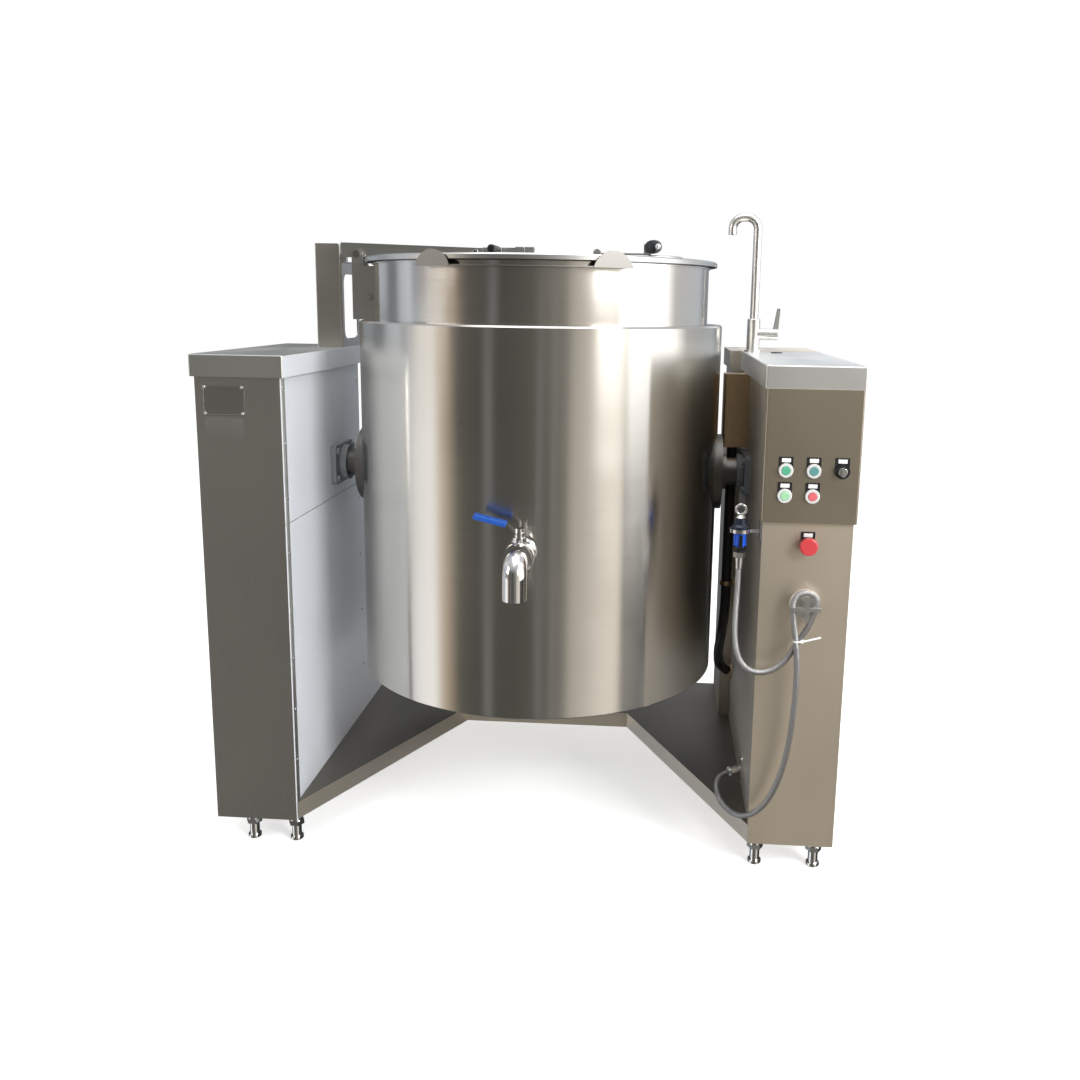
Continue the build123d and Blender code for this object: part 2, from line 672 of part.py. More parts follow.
with BuildPart() as bracket:
    for side in (-1, 1):
        y = sorted((side * cheek_in_y, side * cheek_out_y))
        block((bracket_x, -neck_r + 12), y, bracket_z)
        block((bracket_x, hinge_x + ear_r), y, (bracket_z[1], hinge_z))
        rod_y(hinge_x, hinge_z, y, ear_r)
    # back web between the cheeks, and a foot on the shoulder
    block((-neck_r - 16, -neck_r - 10), (-cheek_in_y, cheek_in_y), (bracket_z[0], bracket_z[1]))
    drum(neck_r, shoulder_z - 1, rim_z, mode=Mode.SUBTRACT)
    rod_y(hinge_x, hinge_z, (-cheek_out_y - 1, cheek_out_y + 1), hinge_pin_r + running_gap,
          mode=Mode.SUBTRACT)
    # the knob of the bracket's clamping screw
    rod_y(-neck_r - 24, shoulder_z + 57, (-cheek_out_y - 14, -cheek_out_y), 9)
save(bracket.part, "lid_hinge_bracket")

with BuildPart() as hinge_pin:
    rod_y(hinge_x, hinge_z, (-cheek_out_y - 2, cheek_out_y + 2), hinge_pin_r)
    rod_y(hinge_x, hinge_z, (-cheek_out_y - 8, -cheek_out_y - 0.3), hinge_pin_r + 3)
    rod_y(hinge_x, hinge_z, (cheek_out_y + 0.3, cheek_out_y + 6), hinge_pin_r + 3)
save(hinge_pin.part, "lid_hinge_pin")

# ---------------------------------------------------------------- lid
lid_sheet = 3.0
collar_t = 3.0
collar_top_z = lid_top_z + 10.0
lug_y = (12.0, 20.0)
with BuildPart() as lid:
    with BuildSketch(Plane.XZ):
        with BuildLine():
            Polyline((0, lid_top_z), (lid_r - 3, lid_top_z), (lid_r, lid_top_z - 3), (lid_r, lid_skirt_z),
                     (lid_r - lid_sheet, lid_skirt_z), (lid_r - lid_sheet, lid_top_z - lid_sheet),
                     (0, lid_top_z - lid_sheet), close=True)
        make_face()
    revolve(axis=Axis.Z)
    # gasket seat: the ring that bears on the kettle's rim
    ring(pan_r + 12, pan_r - 2, rim_z + 0.3, lid_top_z - lid_sheet)
    with BuildSketch(Plane.XY.offset(lid_top_z)):
        with Locations((hatch_x, 0)):
            Circle(hatch_hole_r + collar_t)
    extrude(amount=collar_top_z - lid_top_z)
    with BuildSketch(Plane.XY.offset(lid_top_z - lid_sheet - 1)):
        with Locations((hatch_x, 0)):
            Circle(hatch_hole_r)
    extrude(amount=20, mode=Mode.SUBTRACT)
    for side in (-1, 1):
        y = sorted((side * lug_y[0], side * lug_y[1]))
        block((hatch_hinge_x - 9, hatch_hinge_x + 9), y, (lid_top_z, hatch_hinge_z))
        rod_y(hatch_hinge_x, hatch_hinge_z, y, 9)
    rod_y(hatch_hinge_x, hatch_hinge_z, (-lug_y[1] - 1, lug_y[1] + 1), 4 + running_gap,
          mode=Mode.SUBTRACT)
save(lid.part, "lid_plate")

bar_low_z = lid_top_z + 11.0
slot_x = (head_x[0] + 19.0, head_x[0] + 23.0)
with BuildPart() as arm:
    with BuildSketch(Plane.XZ):
        with BuildLine():
            Polyline((arm_tail_x, lid_top_z + 4), (arm_tail_x, arm_top_z), (arm_end_x, arm_end_top_z),
                     (arm_end_x, lid_top_z), (-lid_r + 6, lid_top_z), (-lid_r - 4, lid_top_z + 4),
                     close=True)
        make_face()
    extrude(amount=arm_half_w, both=True)
    with BuildSketch(Plane.XZ):
        with BuildLine():
            Polyline((arm_tail_x - 1, lid_top_z - 1), (arm_tail_x - 1, arm_top_z - arm_wall),
                     (arm_end_x - arm_wall, arm_end_top_z - arm_wall),
                     (arm_end_x - arm_wall, lid_top_z - 1), close=True)
        make_face()
    extrude(amount=arm_half_w - arm_wall, both=True, mode=Mode.SUBTRACT)
    # knuckle tube round the pin, between the arm's sides
    rod_y(hinge_x, hinge_z, (-arm_half_w, arm_half_w), hinge_pin_r + 5)
    rod_y(hinge_x, hinge_z, (-arm_half_w - 1, arm_half_w + 1), hinge_pin_r + running_gap,
          mode=Mode.SUBTRACT)
    # bar and clamp block at the lid's centre
    block((arm_end_x, head_x[1]), (-10, 10), (bar_low_z, head_top_z - 2))
    block(head_x, (-14, 14), (lid_top_z, head_top_z))
    block(slot_x, (-15, 15), (bar_low_z - 4, head_top_z + 1), mode=Mode.SUBTRACT)
save(arm.part, "lid_arm")

handle_x = head_x[0] - 39.0
handle_z = bar_low_z + 11.0
with BuildPart() as handle:
    rod_y(handle_x, handle_z, (-52, -10), 6.5)
    rod_y(handle_x, handle_z, (-150, -48), 10)
    fillet(handle.edges().group_by(Axis.Y)[0], 4)
save(handle.part, "lid_handle")

# ---------------------------------------------------------------- hatch
cover_z = (collar_top_z + 0.3, collar_top_z + 3.3)
strap_y = lug_y[0] - 0.3
strap_z = (cover_z[1], hatch_hinge_z)
stand_top_z = strap_z[1] + 22.0
with BuildPart() as hatch:
    with BuildSketch(Plane.XY.offset(cover_z[0])):
        with Locations((hatch_x, 0)):
            Circle(hatch_r)
    extrude(amount=cover_z[1] - cover_z[0])
    with BuildSketch(Plane.XY.offset(cover_z[0] - 3)):
        with Locations((hatch_x, 0)):
            Circle(hatch_r)
            Circle(hatch_r - 3, mode=Mode.SUBTRACT)
    extrude(amount=3)
    fillet(hatch.edges().group_by(Axis.Z)[-1], 2)
    block((hatch_hinge_x, hatch_x + 20), (-strap_y, strap_y), strap_z)
    rod_y(hatch_hinge_x, hatch_hinge_z, (-strap_y, strap_y), 7.7)
    rod_y(hatch_hinge_x, hatch_hinge_z, (-lug_y[1], lug_y[1]), 4)
    # stand for the grip
    block((hatch_x + 2, hatch_x + 18), (-strap_y, strap_y), (strap_z[1], stand_top_z))
save(hatch.part, "hatch_cover")

grip_z = stand_top_z - 8.0
grip_dir = Vector(0.24, -0.97, -0.03).normalized()
with BuildPart() as hatch_grip:
    # short bar from the stand, then the swelling grip
    rod_y(hatch_x + 10, grip_z, (-strap_y - 24, -strap_y), 6)
    grip_plane = Plane(Vector(hatch_x + 12, -strap_y - 14, grip_z), x_dir=(0.97, 0.24, 0),
                       z_dir=tuple(grip_dir))
    with BuildSketch(Plane(grip_plane.origin, x_dir=grip_plane.x_dir, z_dir=-grip_plane.y_dir)):
        with BuildLine():
            Spline((0, 0), (11, 12), (16, 44), (14, 84), (9, 96), tangents=[(1, 0.4), (-0.4, 1)])
            Line((9, 96), (0, 96))
            Line((0, 96), (0, 0))
        make_face()
    revolve(axis=Axis(grip_plane.origin, tuple(grip_dir)))
save(hatch_grip.part, "hatch_grip")

# ---------------------------------------------------------------- drain valve
ball_gap = 0.1
neck_top_z = drain_z + 46.0
stem_r = 7.0
with BuildPart() as valve_body:
    rod_y(drain_x, drain_z, (valve_y, -pan_r), drain_pipe_r)
    rod_y(drain_x, drain_z, (-jacket_r - 12, -jacket_r - 3), drain_pipe_r + 9)
    with Locations((drain_x, valve_y, drain_z)):
        Sphere(valve_body_r)
    rod_y(drain_x, drain_z, (valve_collar_y[0], valve_y), drain_pipe_r)
    rod_y(drain_x, drain_z, valve_collar_y, drain_pipe_r + 6)
    drum(15, drain_z, neck_top_z - 6, at=(drain_x, valve_y))
    drum(11, neck_top_z - 6, neck_top_z, at=(drain_x, valve_y))
    # bore, ball seat and stem hole
    rod_y(drain_x, drain_z, (valve_y, -pan_r + 1), drain_pipe_r - drain_wall, mode=Mode.SUBTRACT)
    with Locations((drain_x, valve_y, drain_z)):
        Sphere(ball_r, mode=Mode.SUBTRACT)
    rod_y(drain_x, drain_z, (valve_collar_y[0] - 1, valve_y), drain_pipe_r - drain_wall, mode=Mode.SUBTRACT)
    drum(stem_r + running_gap, drain_z, neck_top_z + 1, at=(drain_x, valve_y), mode=Mode.SUBTRACT)
    # trim the pipe to the round wall of the pan
    drum(pan_r, drain_z - 2 * drain_pipe_r, drain_z + 2 * drain_pipe_r, mode=Mode.SUBTRACT)
save(valve_body.part, "drain_valve_body")

with BuildPart() as ball:
    with Locations((drain_x, valve_y, drain_z)):
        Sphere(ball_r - ball_gap)
    # the port lies across the pipe while the valve is shut
    rod_x(valve_y, drain_z, (drain_x - ball_r, drain_x + ball_r), ball_bore_r, mode=Mode.SUBTRACT)
    drum(stem_r, drain_z + ball_bore_r + 2, neck_top_z + 12, at=(drain_x, valve_y))
save(ball.part, "drain_valve_ball")

lever_w = 20.0
lever_t = 4.0
lever_z = neck_top_z + 0.5
lever_bend = (drain_x - 26.0, lever_z + 20)
lever_tip = (drain_x - 94.0, lever_z + 36)
with BuildPart() as lever:
    with BuildSketch(Plane.XZ.offset(-valve_y)):
        with BuildLine():
            Polyline((drain_x + 12, lever_z + 2), (drain_x - 8, lever_z + 2), lever_bend, lever_tip)
        trace(line_width=lever_t)
    extrude(amount=lever_w / 2, both=True)
    drum(12, lever_z, lever_z + 4, at=(drain_x, valve_y))
    drum(10, lever_z + 4, lever_z + 13, at=(drain_x, valve_y))
    drum(stem_r + running_gap, lever_z - 1, neck_top_z + 12.1, at=(drain_x, valve_y),
         mode=Mode.SUBTRACT)
save(lever.part, "drain_lever")

grip_t = 11.0
with BuildPart() as lever_grip:
    with BuildSketch(Plane.XZ.offset(-valve_y)):
        with BuildLine():
            Line((lever_bend[0] - 2, lever_bend[1] + 0.5), (lever_tip[0] - 5, lever_tip[1] + 1.2))
        trace(line_width=grip_t)
    extrude(amount=lever_w / 2 + 3, both=True)
    fillet(lever_grip.edges().filter_by(GeomType.LINE), 3)
    with BuildSketch(Plane.XZ.offset(-valve_y)):
        with BuildLine():
            Line((lever_bend[0] + 17, lever_bend[1] - 4), (lever_tip[0], lever_tip[1]))
        trace(line_width=lever_t)
    extrude(amount=lever_w / 2, both=True, mode=Mode.SUBTRACT)
save(lever_grip.part, "drain_lever_grip")

with BuildPart() as elbow:
    with BuildLine() as elbow_path:
        FilletPolyline((drain_x, valve_collar_y[0], drain_z), (drain_x, spout_y, drain_z),
                       (drain_x, spout_y, spout_bottom_z), radius=elbow_r)
    with BuildSketch(Plane((drain_x, valve_collar_y[0], drain_z), x_dir=(1, 0, 0), z_dir=(0, -1, 0))):
        Circle(drain_pipe_r)
        Circle(drain_pipe_r - drain_wall, mode=Mode.SUBTRACT)
    sweep(path=elbow_path.line)
save(elbow.part, "drain_elbow")

# ---------------------------------------------------------------- faucet
faucet_flange_r = 23.0
swivel_depth = 42.0
tap_r = 15.0
tap_joint_x = faucet_x + 40.0
spindle_r = 5.0
with BuildPart() as faucet_body:
    drum(faucet_flange_r, cap_top_z, cap_top_z + 5, at=(faucet_x, faucet_y))
    drum(faucet_r, cap_top_z, faucet_top_z, at=(faucet_x, faucet_y))
    chamfer(faucet_body.edges().group_by(Axis.Z)[-1], 1.5)
    rod_x(faucet_y, tap_z, (faucet_x, tap_joint_x), tap_r)
    drum(riser_r + running_gap, faucet_top_z - swivel_depth, faucet_top_z + 1,
         at=(faucet_x, faucet_y), mode=Mode.SUBTRACT)
    rod_x(faucet_y, tap_z, (tap_joint_x - 16, tap_joint_x + 1), spindle_r + running_gap,
          mode=Mode.SUBTRACT)
save(faucet_body.part, "faucet_body")

spout_low_z = faucet_top_z - swivel_depth + 0.3
with BuildPart() as spout:
    with BuildLine() as spout_path:
        FilletPolyline((faucet_x, faucet_y, spout_low_z), (faucet_x, faucet_y, spout_z - riser_r),
                       (faucet_x - spout_reach, faucet_y, spout_z - riser_r),
                       (faucet_x - spout_reach, faucet_y, spout_mouth_z), radius=spout_bend * 0.9)
    with BuildSketch(Plane.XY.offset(spout_low_z)):
        with Locations((faucet_x, faucet_y)):
            Circle(riser_r)
    sweep(path=spout_path.line)
    drum(riser_r - 2, spout_mouth_z - 1, spout_mouth_z + 22, at=(faucet_x - spout_reach, faucet_y),
         mode=Mode.SUBTRACT)
save(spout.part, "faucet_spout")

tap_end_x = tap_joint_x + 24.0
tap_lever_z = tap_z + 68.0
with BuildPart() as tap_lever:
    rod_x(faucet_y, tap_z, (tap_joint_x + 0.3, tap_end_x), tap_r)
    chamfer(tap_lever.edges().filter_by(GeomType.CIRCLE), 1)
    rod_x(faucet_y, tap_z, (tap_joint_x - 14, tap_joint_x + 0.3), spindle_r)
    with BuildSketch(Plane.XZ.offset(-faucet_y)):
        with BuildLine():
            Polyline((tap_end_x - 14, tap_z), (tap_end_x, tap_z), (tap_end_x + 4, tap_lever_z),
                     (tap_end_x - 3, tap_lever_z), close=True)
        make_face()
    extrude(amount=8, both=True)
save(tap_lever.part, "faucet_lever")

# ---------------------------------------------------------------- hose hook
rosette_t = 8.0
hook_bar_y = (console_front_y - 48.0, console_front_y - 41.0)
hook_reach = 29.0
with BuildPart() as hook:
    rod_y(*hook_at, (console_front_y - rosette_t, console_front_y), rosette_r)
    fillet(hook.edges().group_by(Axis.Y)[0], 5)
    rod_y(*hook_at, (hook_bar_y[0], console_front_y), 8)
    for turn in (0, 90):
        with Locations(Plane((hook_at[0], sum(hook_bar_y) / 2, hook_at[1]), z_dir=(0, 1, 0))):
            Box(*((2 * hook_reach, 8) if turn else (8, 2 * hook_reach)), hook_bar_y[1] - hook_bar_y[0])
save(hook.part, "hose_hook")

# ---------------------------------------------------------------- spray gun in its ring holder
ring_bore_r = 17.0
ring_r = 24.0
ring_t = 8.0
with BuildPart() as spray_holder:
    drum(ring_r, holder_ring_z - ring_t / 2, holder_ring_z + ring_t / 2, at=(gun_x, gun_y))
    block((gun_x + 10, console_in_x), (gun_y - 6, gun_y + 6),
          (holder_ring_z - ring_t / 2, holder_ring_z + ring_t / 2))
    drum(ring_bore_r, holder_ring_z - ring_t, holder_ring_z + ring_t, at=(gun_x, gun_y),
         mode=Mode.SUBTRACT)
    block((console_in_x - 3, console_in_x), (gun_y - 18, gun_y + 18),
          (holder_ring_z - 18, holder_ring_z + 18))
save(spray_holder.part, "spray_holder")

gun_low_z = holder_ring_z - 49.0
gun_collar_z = holder_ring_z + ring_t / 2 + 0.3
gun_top_z = holder_ring_z + 34.0
trigger_pivot = (gun_y - gun_r - 4.0, gun_low_z + 11.0)  # y, z
trigger_pin_r = 2.0
trigger_half_w = 4.0
with BuildPart() as gun:
    with BuildSketch(Plane.XZ.offset(-gun_y)):
        with BuildLine():
            Polyline((gun_x, gun_low_z), (gun_x + gun_r - 3, gun_low_z), (gun_x + gun_r, gun_low_z + 6),
                     (gun_x + gun_r, gun_collar_z), (gun_x + gun_r + 6, gun_collar_z),
                     (gun_x + gun_r + 6, gun_collar_z + 5), (gun_x + gun_r, gun_collar_z + 9),
                     (gun_x + gun_r - 2, gun_top_z - 6), (gun_x + gun_r - 8, gun_top_z),
                     (gun_x, gun_top_z), close=True)
        make_face()
    revolve(axis=Axis((gun_x, gun_y, 0), (0, 0, 1)))
    # ears for the trigger
    for side in (-1, 1):
        x = sorted((gun_x + side * (trigger_half_w + 0.3), gun_x + side * (trigger_half_w + 3.3)))
        block(x, (trigger_pivot[0] - 4, gun_y), (trigger_pivot[1] - 5, trigger_pivot[1] + 5))
    rod_x(*trigger_pivot, (gun_x - 10, gun_x + 10), trigger_pin_r + running_gap, mode=Mode.SUBTRACT)
    # hanging eye on top
    with Locations(Plane((gun_x, gun_y, gun_top_z + 12), x_dir=(1, 0, 0), z_dir=(0, 1, 0))):
        Torus(11, 3)
save(gun.part, "spray_gun")

trigger_lean = 12.0
trigger_top = (trigger_pivot[0] - 30 * tan(radians(trigger_lean)), trigger_pivot[1] + 30)
with BuildPart() as trigger:
    with BuildSketch(Plane.YZ.offset(gun_x)):
        with BuildLine():
            Line(trigger_pivot, trigger_top)
        trace(line_width=3)
        with Locations(trigger_pivot):
            Circle(3.2)
    extrude(amount=trigger_half_w, both=True)
    rod_x(*trigger_pivot, (gun_x - trigger_half_w - 3, gun_x + trigger_half_w + 3), trigger_pin_r)
save(trigger.part, "spray_trigger")

connector_z = gun_low_z - 24.0
with BuildPart() as connector:
    with BuildSketch(Plane.XY.offset(gun_low_z - 12)):
        with Locations((gun_x, gun_y)):
            RegularPolygon(13, 6)
    extrude(amount=12)
    drum(9, connector_z, gun_low_z - 12, at=(gun_x, gun_y))
save(connector.part, "hose_connector")

# ---------------------------------------------------------------- water hose and its fitting
fitting_at = (console_in_x, -209.0, 166.0)
fitting_dir = Vector(-0.82, -0.57, 0).normalized()
fitting_len = 40.0
hose_end = Vector(*fitting_at) + fitting_dir * fitting_len
hose_points = (  # x from the console's inner face
    (-46, -382, 668), (-50, -396, 592), (-46, -416, 534), (-23, -430, 500), (20, -434, 496),
    (58, -434, 521), (85, -431, 568), (114, -429, 618), (128, -429, 669), (98, -431, 687),
    (68, -434, 669), (74, -441, 614), (83, -447, 556), (86, -448, 482), (83, -446, 402),
    (76, -443, 324), (62, -439, 254), (40, -432, 194), (8, -424, 153), (-26, -398, 135),
    (-52, -352, 134), (-67, -311, 145), (-67, -273, 158), (-54, -247, 165))
hose_route = [(gun_x, gun_y, connector_z - 0.6),
              *((console_in_x + x, y, z) for x, y, z in hose_points), tuple(hose_end)]


def bend_radii(route):
    """The largest arc that each corner's two runs allow."""
    points = [Vector(*p) for p in route]
    radii = []
    for before, here, after in zip(points, points[1:], points[2:]):
        half_turn = radians((here - before).get_angle(after - here)) / 2
        shorter = min((here - before).length, (after - here).length)
        radii.append(0.45 * shorter / tan(half_turn))
    return radii


def tube(route, radius):
    """A round tube along straight runs joined by tangent arcs."""
    radii = bend_radii(route)
    print("bend radii:", [round(r) for r in radii])
    with BuildPart() as body:
        with BuildLine() as path:
            FilletPolyline(*route, radius=radii)
        with BuildSketch(Plane(route[0], z_dir=path.line % 0)):
            Circle(radius)
        sweep(path=path.line)
    print("tube volume / (section x length):",
          round(body.part.volume / (3.14159265 * radius ** 2 * path.wires()[0].length), 4))
    return body.part


save(tube(hose_route, hose_r), "water_hose")

with BuildPart() as fitting:
    with BuildSketch(Plane.YZ.offset(console_in_x)):
        with Locations((fitting_at[1], fitting_at[2])):
            RectangleRounded(26, 60, 12)
    extrude(amount=-4)
    with Locations(Plane((fitting_at[0] - 2, fitting_at[1], fitting_at[2]), z_dir=tuple(fitting_dir))):
        Cylinder(9, fitting_len - 14, align=UPRIGHT)
    with Locations(Plane(tuple(hose_end - fitting_dir * 16), z_dir=tuple(fitting_dir))):
        Cylinder(10.5, 15.5, align=UPRIGHT)
    block((console_in_x, console_in_x + 20), (fitting_at[1] - 20, fitting_at[1] + 20),
          (fitting_at[2] - 20, fitting_at[2] + 20), mode=Mode.SUBTRACT)
save(fitting.part, "hose_fitting")

# ---------------------------------------------------------------- cable duct and conduit beside the kettle
conduit_at = (console_in_x - 37.0, 62.0)
conduit_r = 13.0
duct_z = (tilt_z + 57.0, box_top_z - 1.0)
strap_low_z = 560.0
gland_at = (console_in_x - 14.0, 203.0, 268.0)
with BuildPart() as duct:
    block((conduit_at[0] - 27, console_in_x), (conduit_at[1] - 22, conduit_at[1] + 42), duct_z)
    fillet(duct.edges().filter_by(Axis.Z).group_by(Axis.X)[0], 6)
    offset(amount=-sheet, openings=duct.faces().sort_by(Axis.X)[-1])
    drum(conduit_r + 0.3, duct_z[0] - 1, duct_z[0] + 3, at=conduit_at, mode=Mode.SUBTRACT)
    # strap that holds the conduit lower down
    drum(conduit_r + 4, strap_low_z, strap_low_z + 12, at=conduit_at)
    block((conduit_at[0], console_in_x), (conduit_at[1] + 6, conduit_at[1] + 11),
          (strap_low_z, strap_low_z + 12))
    drum(conduit_r + 0.3, strap_low_z - 1, strap_low_z + 13, at=conduit_at, mode=Mode.SUBTRACT)
    # gland where the conduit enters the console
    rod_x(gland_at[1], gland_at[2], (console_in_x - 4, console_in_x), conduit_r + 9)
save(duct.part, "conduit_duct")

conduit_points = ((-40, 84, 430), (-46, 130, 352), (-40, 180, 296))  # x from the console's inner face
conduit_route = [(*conduit_at, duct_z[0] + sheet), (*conduit_at, strap_low_z - 55),
                 *((console_in_x + x, y, z) for x, y, z in conduit_points), gland_at]
save(tube(conduit_route, conduit_r), "power_conduit")
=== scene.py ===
# %% [markdown]
# # A tilting steam kettle in brushed stainless steel
#
# The solids of the kettle come in as a fixed frame, each already at its real place. This lesson
# gives them their finish, adds the small things that have no solid of their own, such as screws,
# blank plates and the braided hose, and puts the whole in a pale studio. Lengths are metres, except
# where a cell says millimetres.

# %% Load the frame
from math import cos, pi, radians, sin

import bmesh
import bpy
from mathutils import Matrix, Vector


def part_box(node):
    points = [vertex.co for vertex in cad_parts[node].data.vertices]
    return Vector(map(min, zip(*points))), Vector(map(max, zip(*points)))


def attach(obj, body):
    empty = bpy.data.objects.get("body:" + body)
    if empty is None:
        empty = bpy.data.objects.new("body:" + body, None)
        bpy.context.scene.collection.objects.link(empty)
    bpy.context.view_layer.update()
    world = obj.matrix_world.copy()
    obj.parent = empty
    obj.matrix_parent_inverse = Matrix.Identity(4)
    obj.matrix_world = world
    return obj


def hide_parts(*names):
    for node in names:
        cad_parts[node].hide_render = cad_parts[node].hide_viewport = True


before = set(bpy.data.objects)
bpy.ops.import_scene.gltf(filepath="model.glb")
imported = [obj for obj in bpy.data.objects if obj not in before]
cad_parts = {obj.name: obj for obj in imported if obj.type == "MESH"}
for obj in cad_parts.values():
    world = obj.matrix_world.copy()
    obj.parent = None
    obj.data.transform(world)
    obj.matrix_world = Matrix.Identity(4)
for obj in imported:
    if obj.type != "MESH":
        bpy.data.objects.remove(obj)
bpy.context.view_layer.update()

MM = 0.001

# %% [markdown]
# ## The camera
#
# A camera stands where a person stands who looks a little down at the kettle's controls. Its place
# is in metres from the point on the floor under the kettle's axis. It could be aimed with a
# constraint that looks at a target. Three plain rotations were chosen, because each can be read as
# what a hand does: a turn to the left, a tilt down, and a small roll, since a hand-held camera is
# never quite level.

# %% Place the camera
camera_place = Vector((0.2863, -2.6076, 1.2931))
camera_left = radians(3.96)
camera_down = radians(10.78)
camera_roll = radians(0.89)

bpy.ops.object.camera_add(location=camera_place)
camera = bpy.context.object
camera.name = "studio_camera"
camera.data.sensor_width = 36
camera.data.lens = 34.2
camera.data.shift_x = -0.038
camera.data.shift_y = -0.039
turn = Matrix.Rotation(camera_left, 3, "Z") @ Matrix.Rotation(radians(90) - camera_down, 3, "X")
camera.rotation_euler = (turn @ Matrix.Rotation(camera_roll, 3, "Z")).to_euler()
bpy.context.scene.camera = camera
bpy.context.scene.view_settings.view_transform = "Standard"
print("camera, metres from the kettle's axis:", round(camera_place.xy.length, 2))

# %% [markdown]
# ## Small helpers
#
# Colours are written as the hex values that a painter or a web page uses, and one function turns
# them to the linear values that the renderer wants. Another adds one shader node with its settings
# and links, and a colour ramp gets its stops with it. A material made of such nodes has no image to
# carry along, and its patterns keep their real size on every piece.


# %% Colours and nodes
def linear(hex_value):
    """The linear colour of an sRGB hex value such as "8c8c8a"."""
    parts = [int(hex_value[i:i + 2], 16) / 255 for i in (0, 2, 4)]
    parts = [c / 12.92 if c <= 0.04045 else ((c + 0.055) / 1.055) ** 2.4 for c in parts]
    return (*parts, 1.0)


def add_node(tree, kind, inputs=None, stops=(), **settings):
    """Adds one shader node. An input is a plain value or another node's output, and stops are the
    (place, colour) pairs of a colour ramp."""
    made = tree.nodes.new(kind)
    for setting, value in settings.items():
        setattr(made, setting, value)
    for socket, value in (inputs or {}).items():
        if isinstance(value, bpy.types.NodeSocket):
            tree.links.new(value, made.inputs[socket])
        else:
            made.inputs[socket].default_value = value
    while stops and len(made.color_ramp.elements) < len(stops):
        made.color_ramp.elements.new(0.5)
    for i, (place, colour) in enumerate(stops):
        made.color_ramp.elements[i].position = place
        made.color_ramp.elements[i].color = colour
    return made


def new_material(name):
    """An empty material with its surface shader, and the tree that holds them."""
    made = bpy.data.materials.new(name)
    made.use_nodes = True
    tree = made.node_tree
    tree.nodes.clear()
    shader = add_node(tree, "ShaderNodeBsdfPrincipled")
    add_node(tree, "ShaderNodeOutputMaterial", {"Surface": shader.outputs["BSDF"]})
    return made, tree, shader


print("mid grey 808080 in linear light:", round(linear("808080")[0], 3))

# %% [markdown]
# ## The studio
#
# Steel has almost no colour of its own: it shows the room. So the room matters more than the lamps.
# The backdrop is a round one. The camera sees it as plain white. The steel sees it with soft upright
# panels hung before it, light, dark and warm, as in any studio that has to give steel its form.
# Real panels could stand in the scene, but each would light the floor and throw its own shadow. So
# the panels are painted on the backdrop, and the first thing needed is the compass direction there.

# %% The compass direction
world = bpy.data.worlds.new("studio")
bpy.context.scene.world = world
world.use_nodes = True
sky = world.node_tree
sky.nodes.clear()
direction = add_node(sky, "ShaderNodeTexCoord").outputs["Generated"]
axes = add_node(sky, "ShaderNodeSeparateXYZ", {"Vector": direction})
to_front = add_node(sky, "ShaderNodeMath", {0: axes.outputs["Y"], 1: -1.0}, operation="MULTIPLY")
compass = add_node(sky, "ShaderNodeMath", {0: axes.outputs["X"], 1: to_front.outputs[0]},
                   operation="ARCTAN2")
around = add_node(sky, "ShaderNodeMapRange",
                  {"Value": compass.outputs[0], "From Min": -pi, "From Max": pi}).outputs["Result"]
print("nodes of the backdrop so far:", len(sky.nodes))

# %% [markdown]
# The panels are two colour ramps over that direction, one for the room below eye height and one for
# the room above it. A panel is a place in degrees, a brightness and a tint, and the ramp blends from
# each to the next, which gives the soft edges. The tall light panels stand far to the sides, where
# they draw the bright streaks near the cladding's outline, and the front stays dim.

# %% The panels
cool = "eaf1fb"
white = "ffffff"
warm = "f8f0e4"
amber = "f8e4cc"
dim = "f2eee2"
low_panels = [  # degrees to the right of the front, brightness, tint
    (-180, 0.16, cool), (-150, 0.10, cool), (-122, 0.20, cool), (-108, 0.40, cool),
    (-99, 0.72, cool), (-86, 1.00, cool), (-76, 1.30, white), (-64, 1.42, white),
    (-57, 0.80, amber), (-51, 0.46, amber), (-46, 0.16, dim), (-31, 0.12, dim),
    (-26, 0.30, white), (-22, 0.12, dim), (-8, 0.13, dim), (3, 0.16, dim),
    (5.5, 0.29, white), (8, 0.18, dim), (12, 0.20, dim), (13.8, 0.33, white),
    (16, 0.24, dim), (21, 0.32, dim), (26, 0.68, warm), (40, 0.86, warm),
    (57, 1.20, warm), (60, 0.20, dim), (72, 0.12, dim), (92, 0.07, dim),
    (118, 0.05, cool), (150, 0.08, cool), (160, 0.16, cool)]
high_panels = [
    (-180, 0.16, cool), (-158, 0.16, cool), (-145, 0.16, cool), (-138, 0.70, cool),
    (-124, 0.66, cool), (-116, 0.30, cool), (-108, 0.30, cool), (-102, 0.80, cool),
    (-92, 0.98, cool), (-87, 0.44, cool), (-63, 0.50, amber), (-50, 0.26, amber),
    (-42, 0.15, dim), (-31, 0.13, dim), (-25, 0.21, white), (-20, 0.10, dim),
    (0, 0.16, dim), (10, 0.28, dim), (22, 0.36, dim), (27, 0.62, warm),
    (44, 0.95, warm), (57, 1.15, warm), (62, 3.10, white), (94, 2.50, white),
    (106, 0.80, white), (140, 0.80, cool), (152, 0.34, cool), (158, 0.36, cool), (172, 0.34, cool)]


def panel_stop(angle, level, tint):
    """A place on the ramp from 0 to 1, and a linear colour of that brightness."""
    r, g, b, _ = linear(tint)
    return (angle + 180) / 360, (r * level, g * level, b * level, 1)


low_banner, high_banner = (
    add_node(sky, "ShaderNodeValToRGB", {"Fac": around}, stops=[panel_stop(*panel) for panel in panels])
    for panels in (low_panels, high_panels))
print("panels below and above eye height:", len(low_panels), len(high_panels))

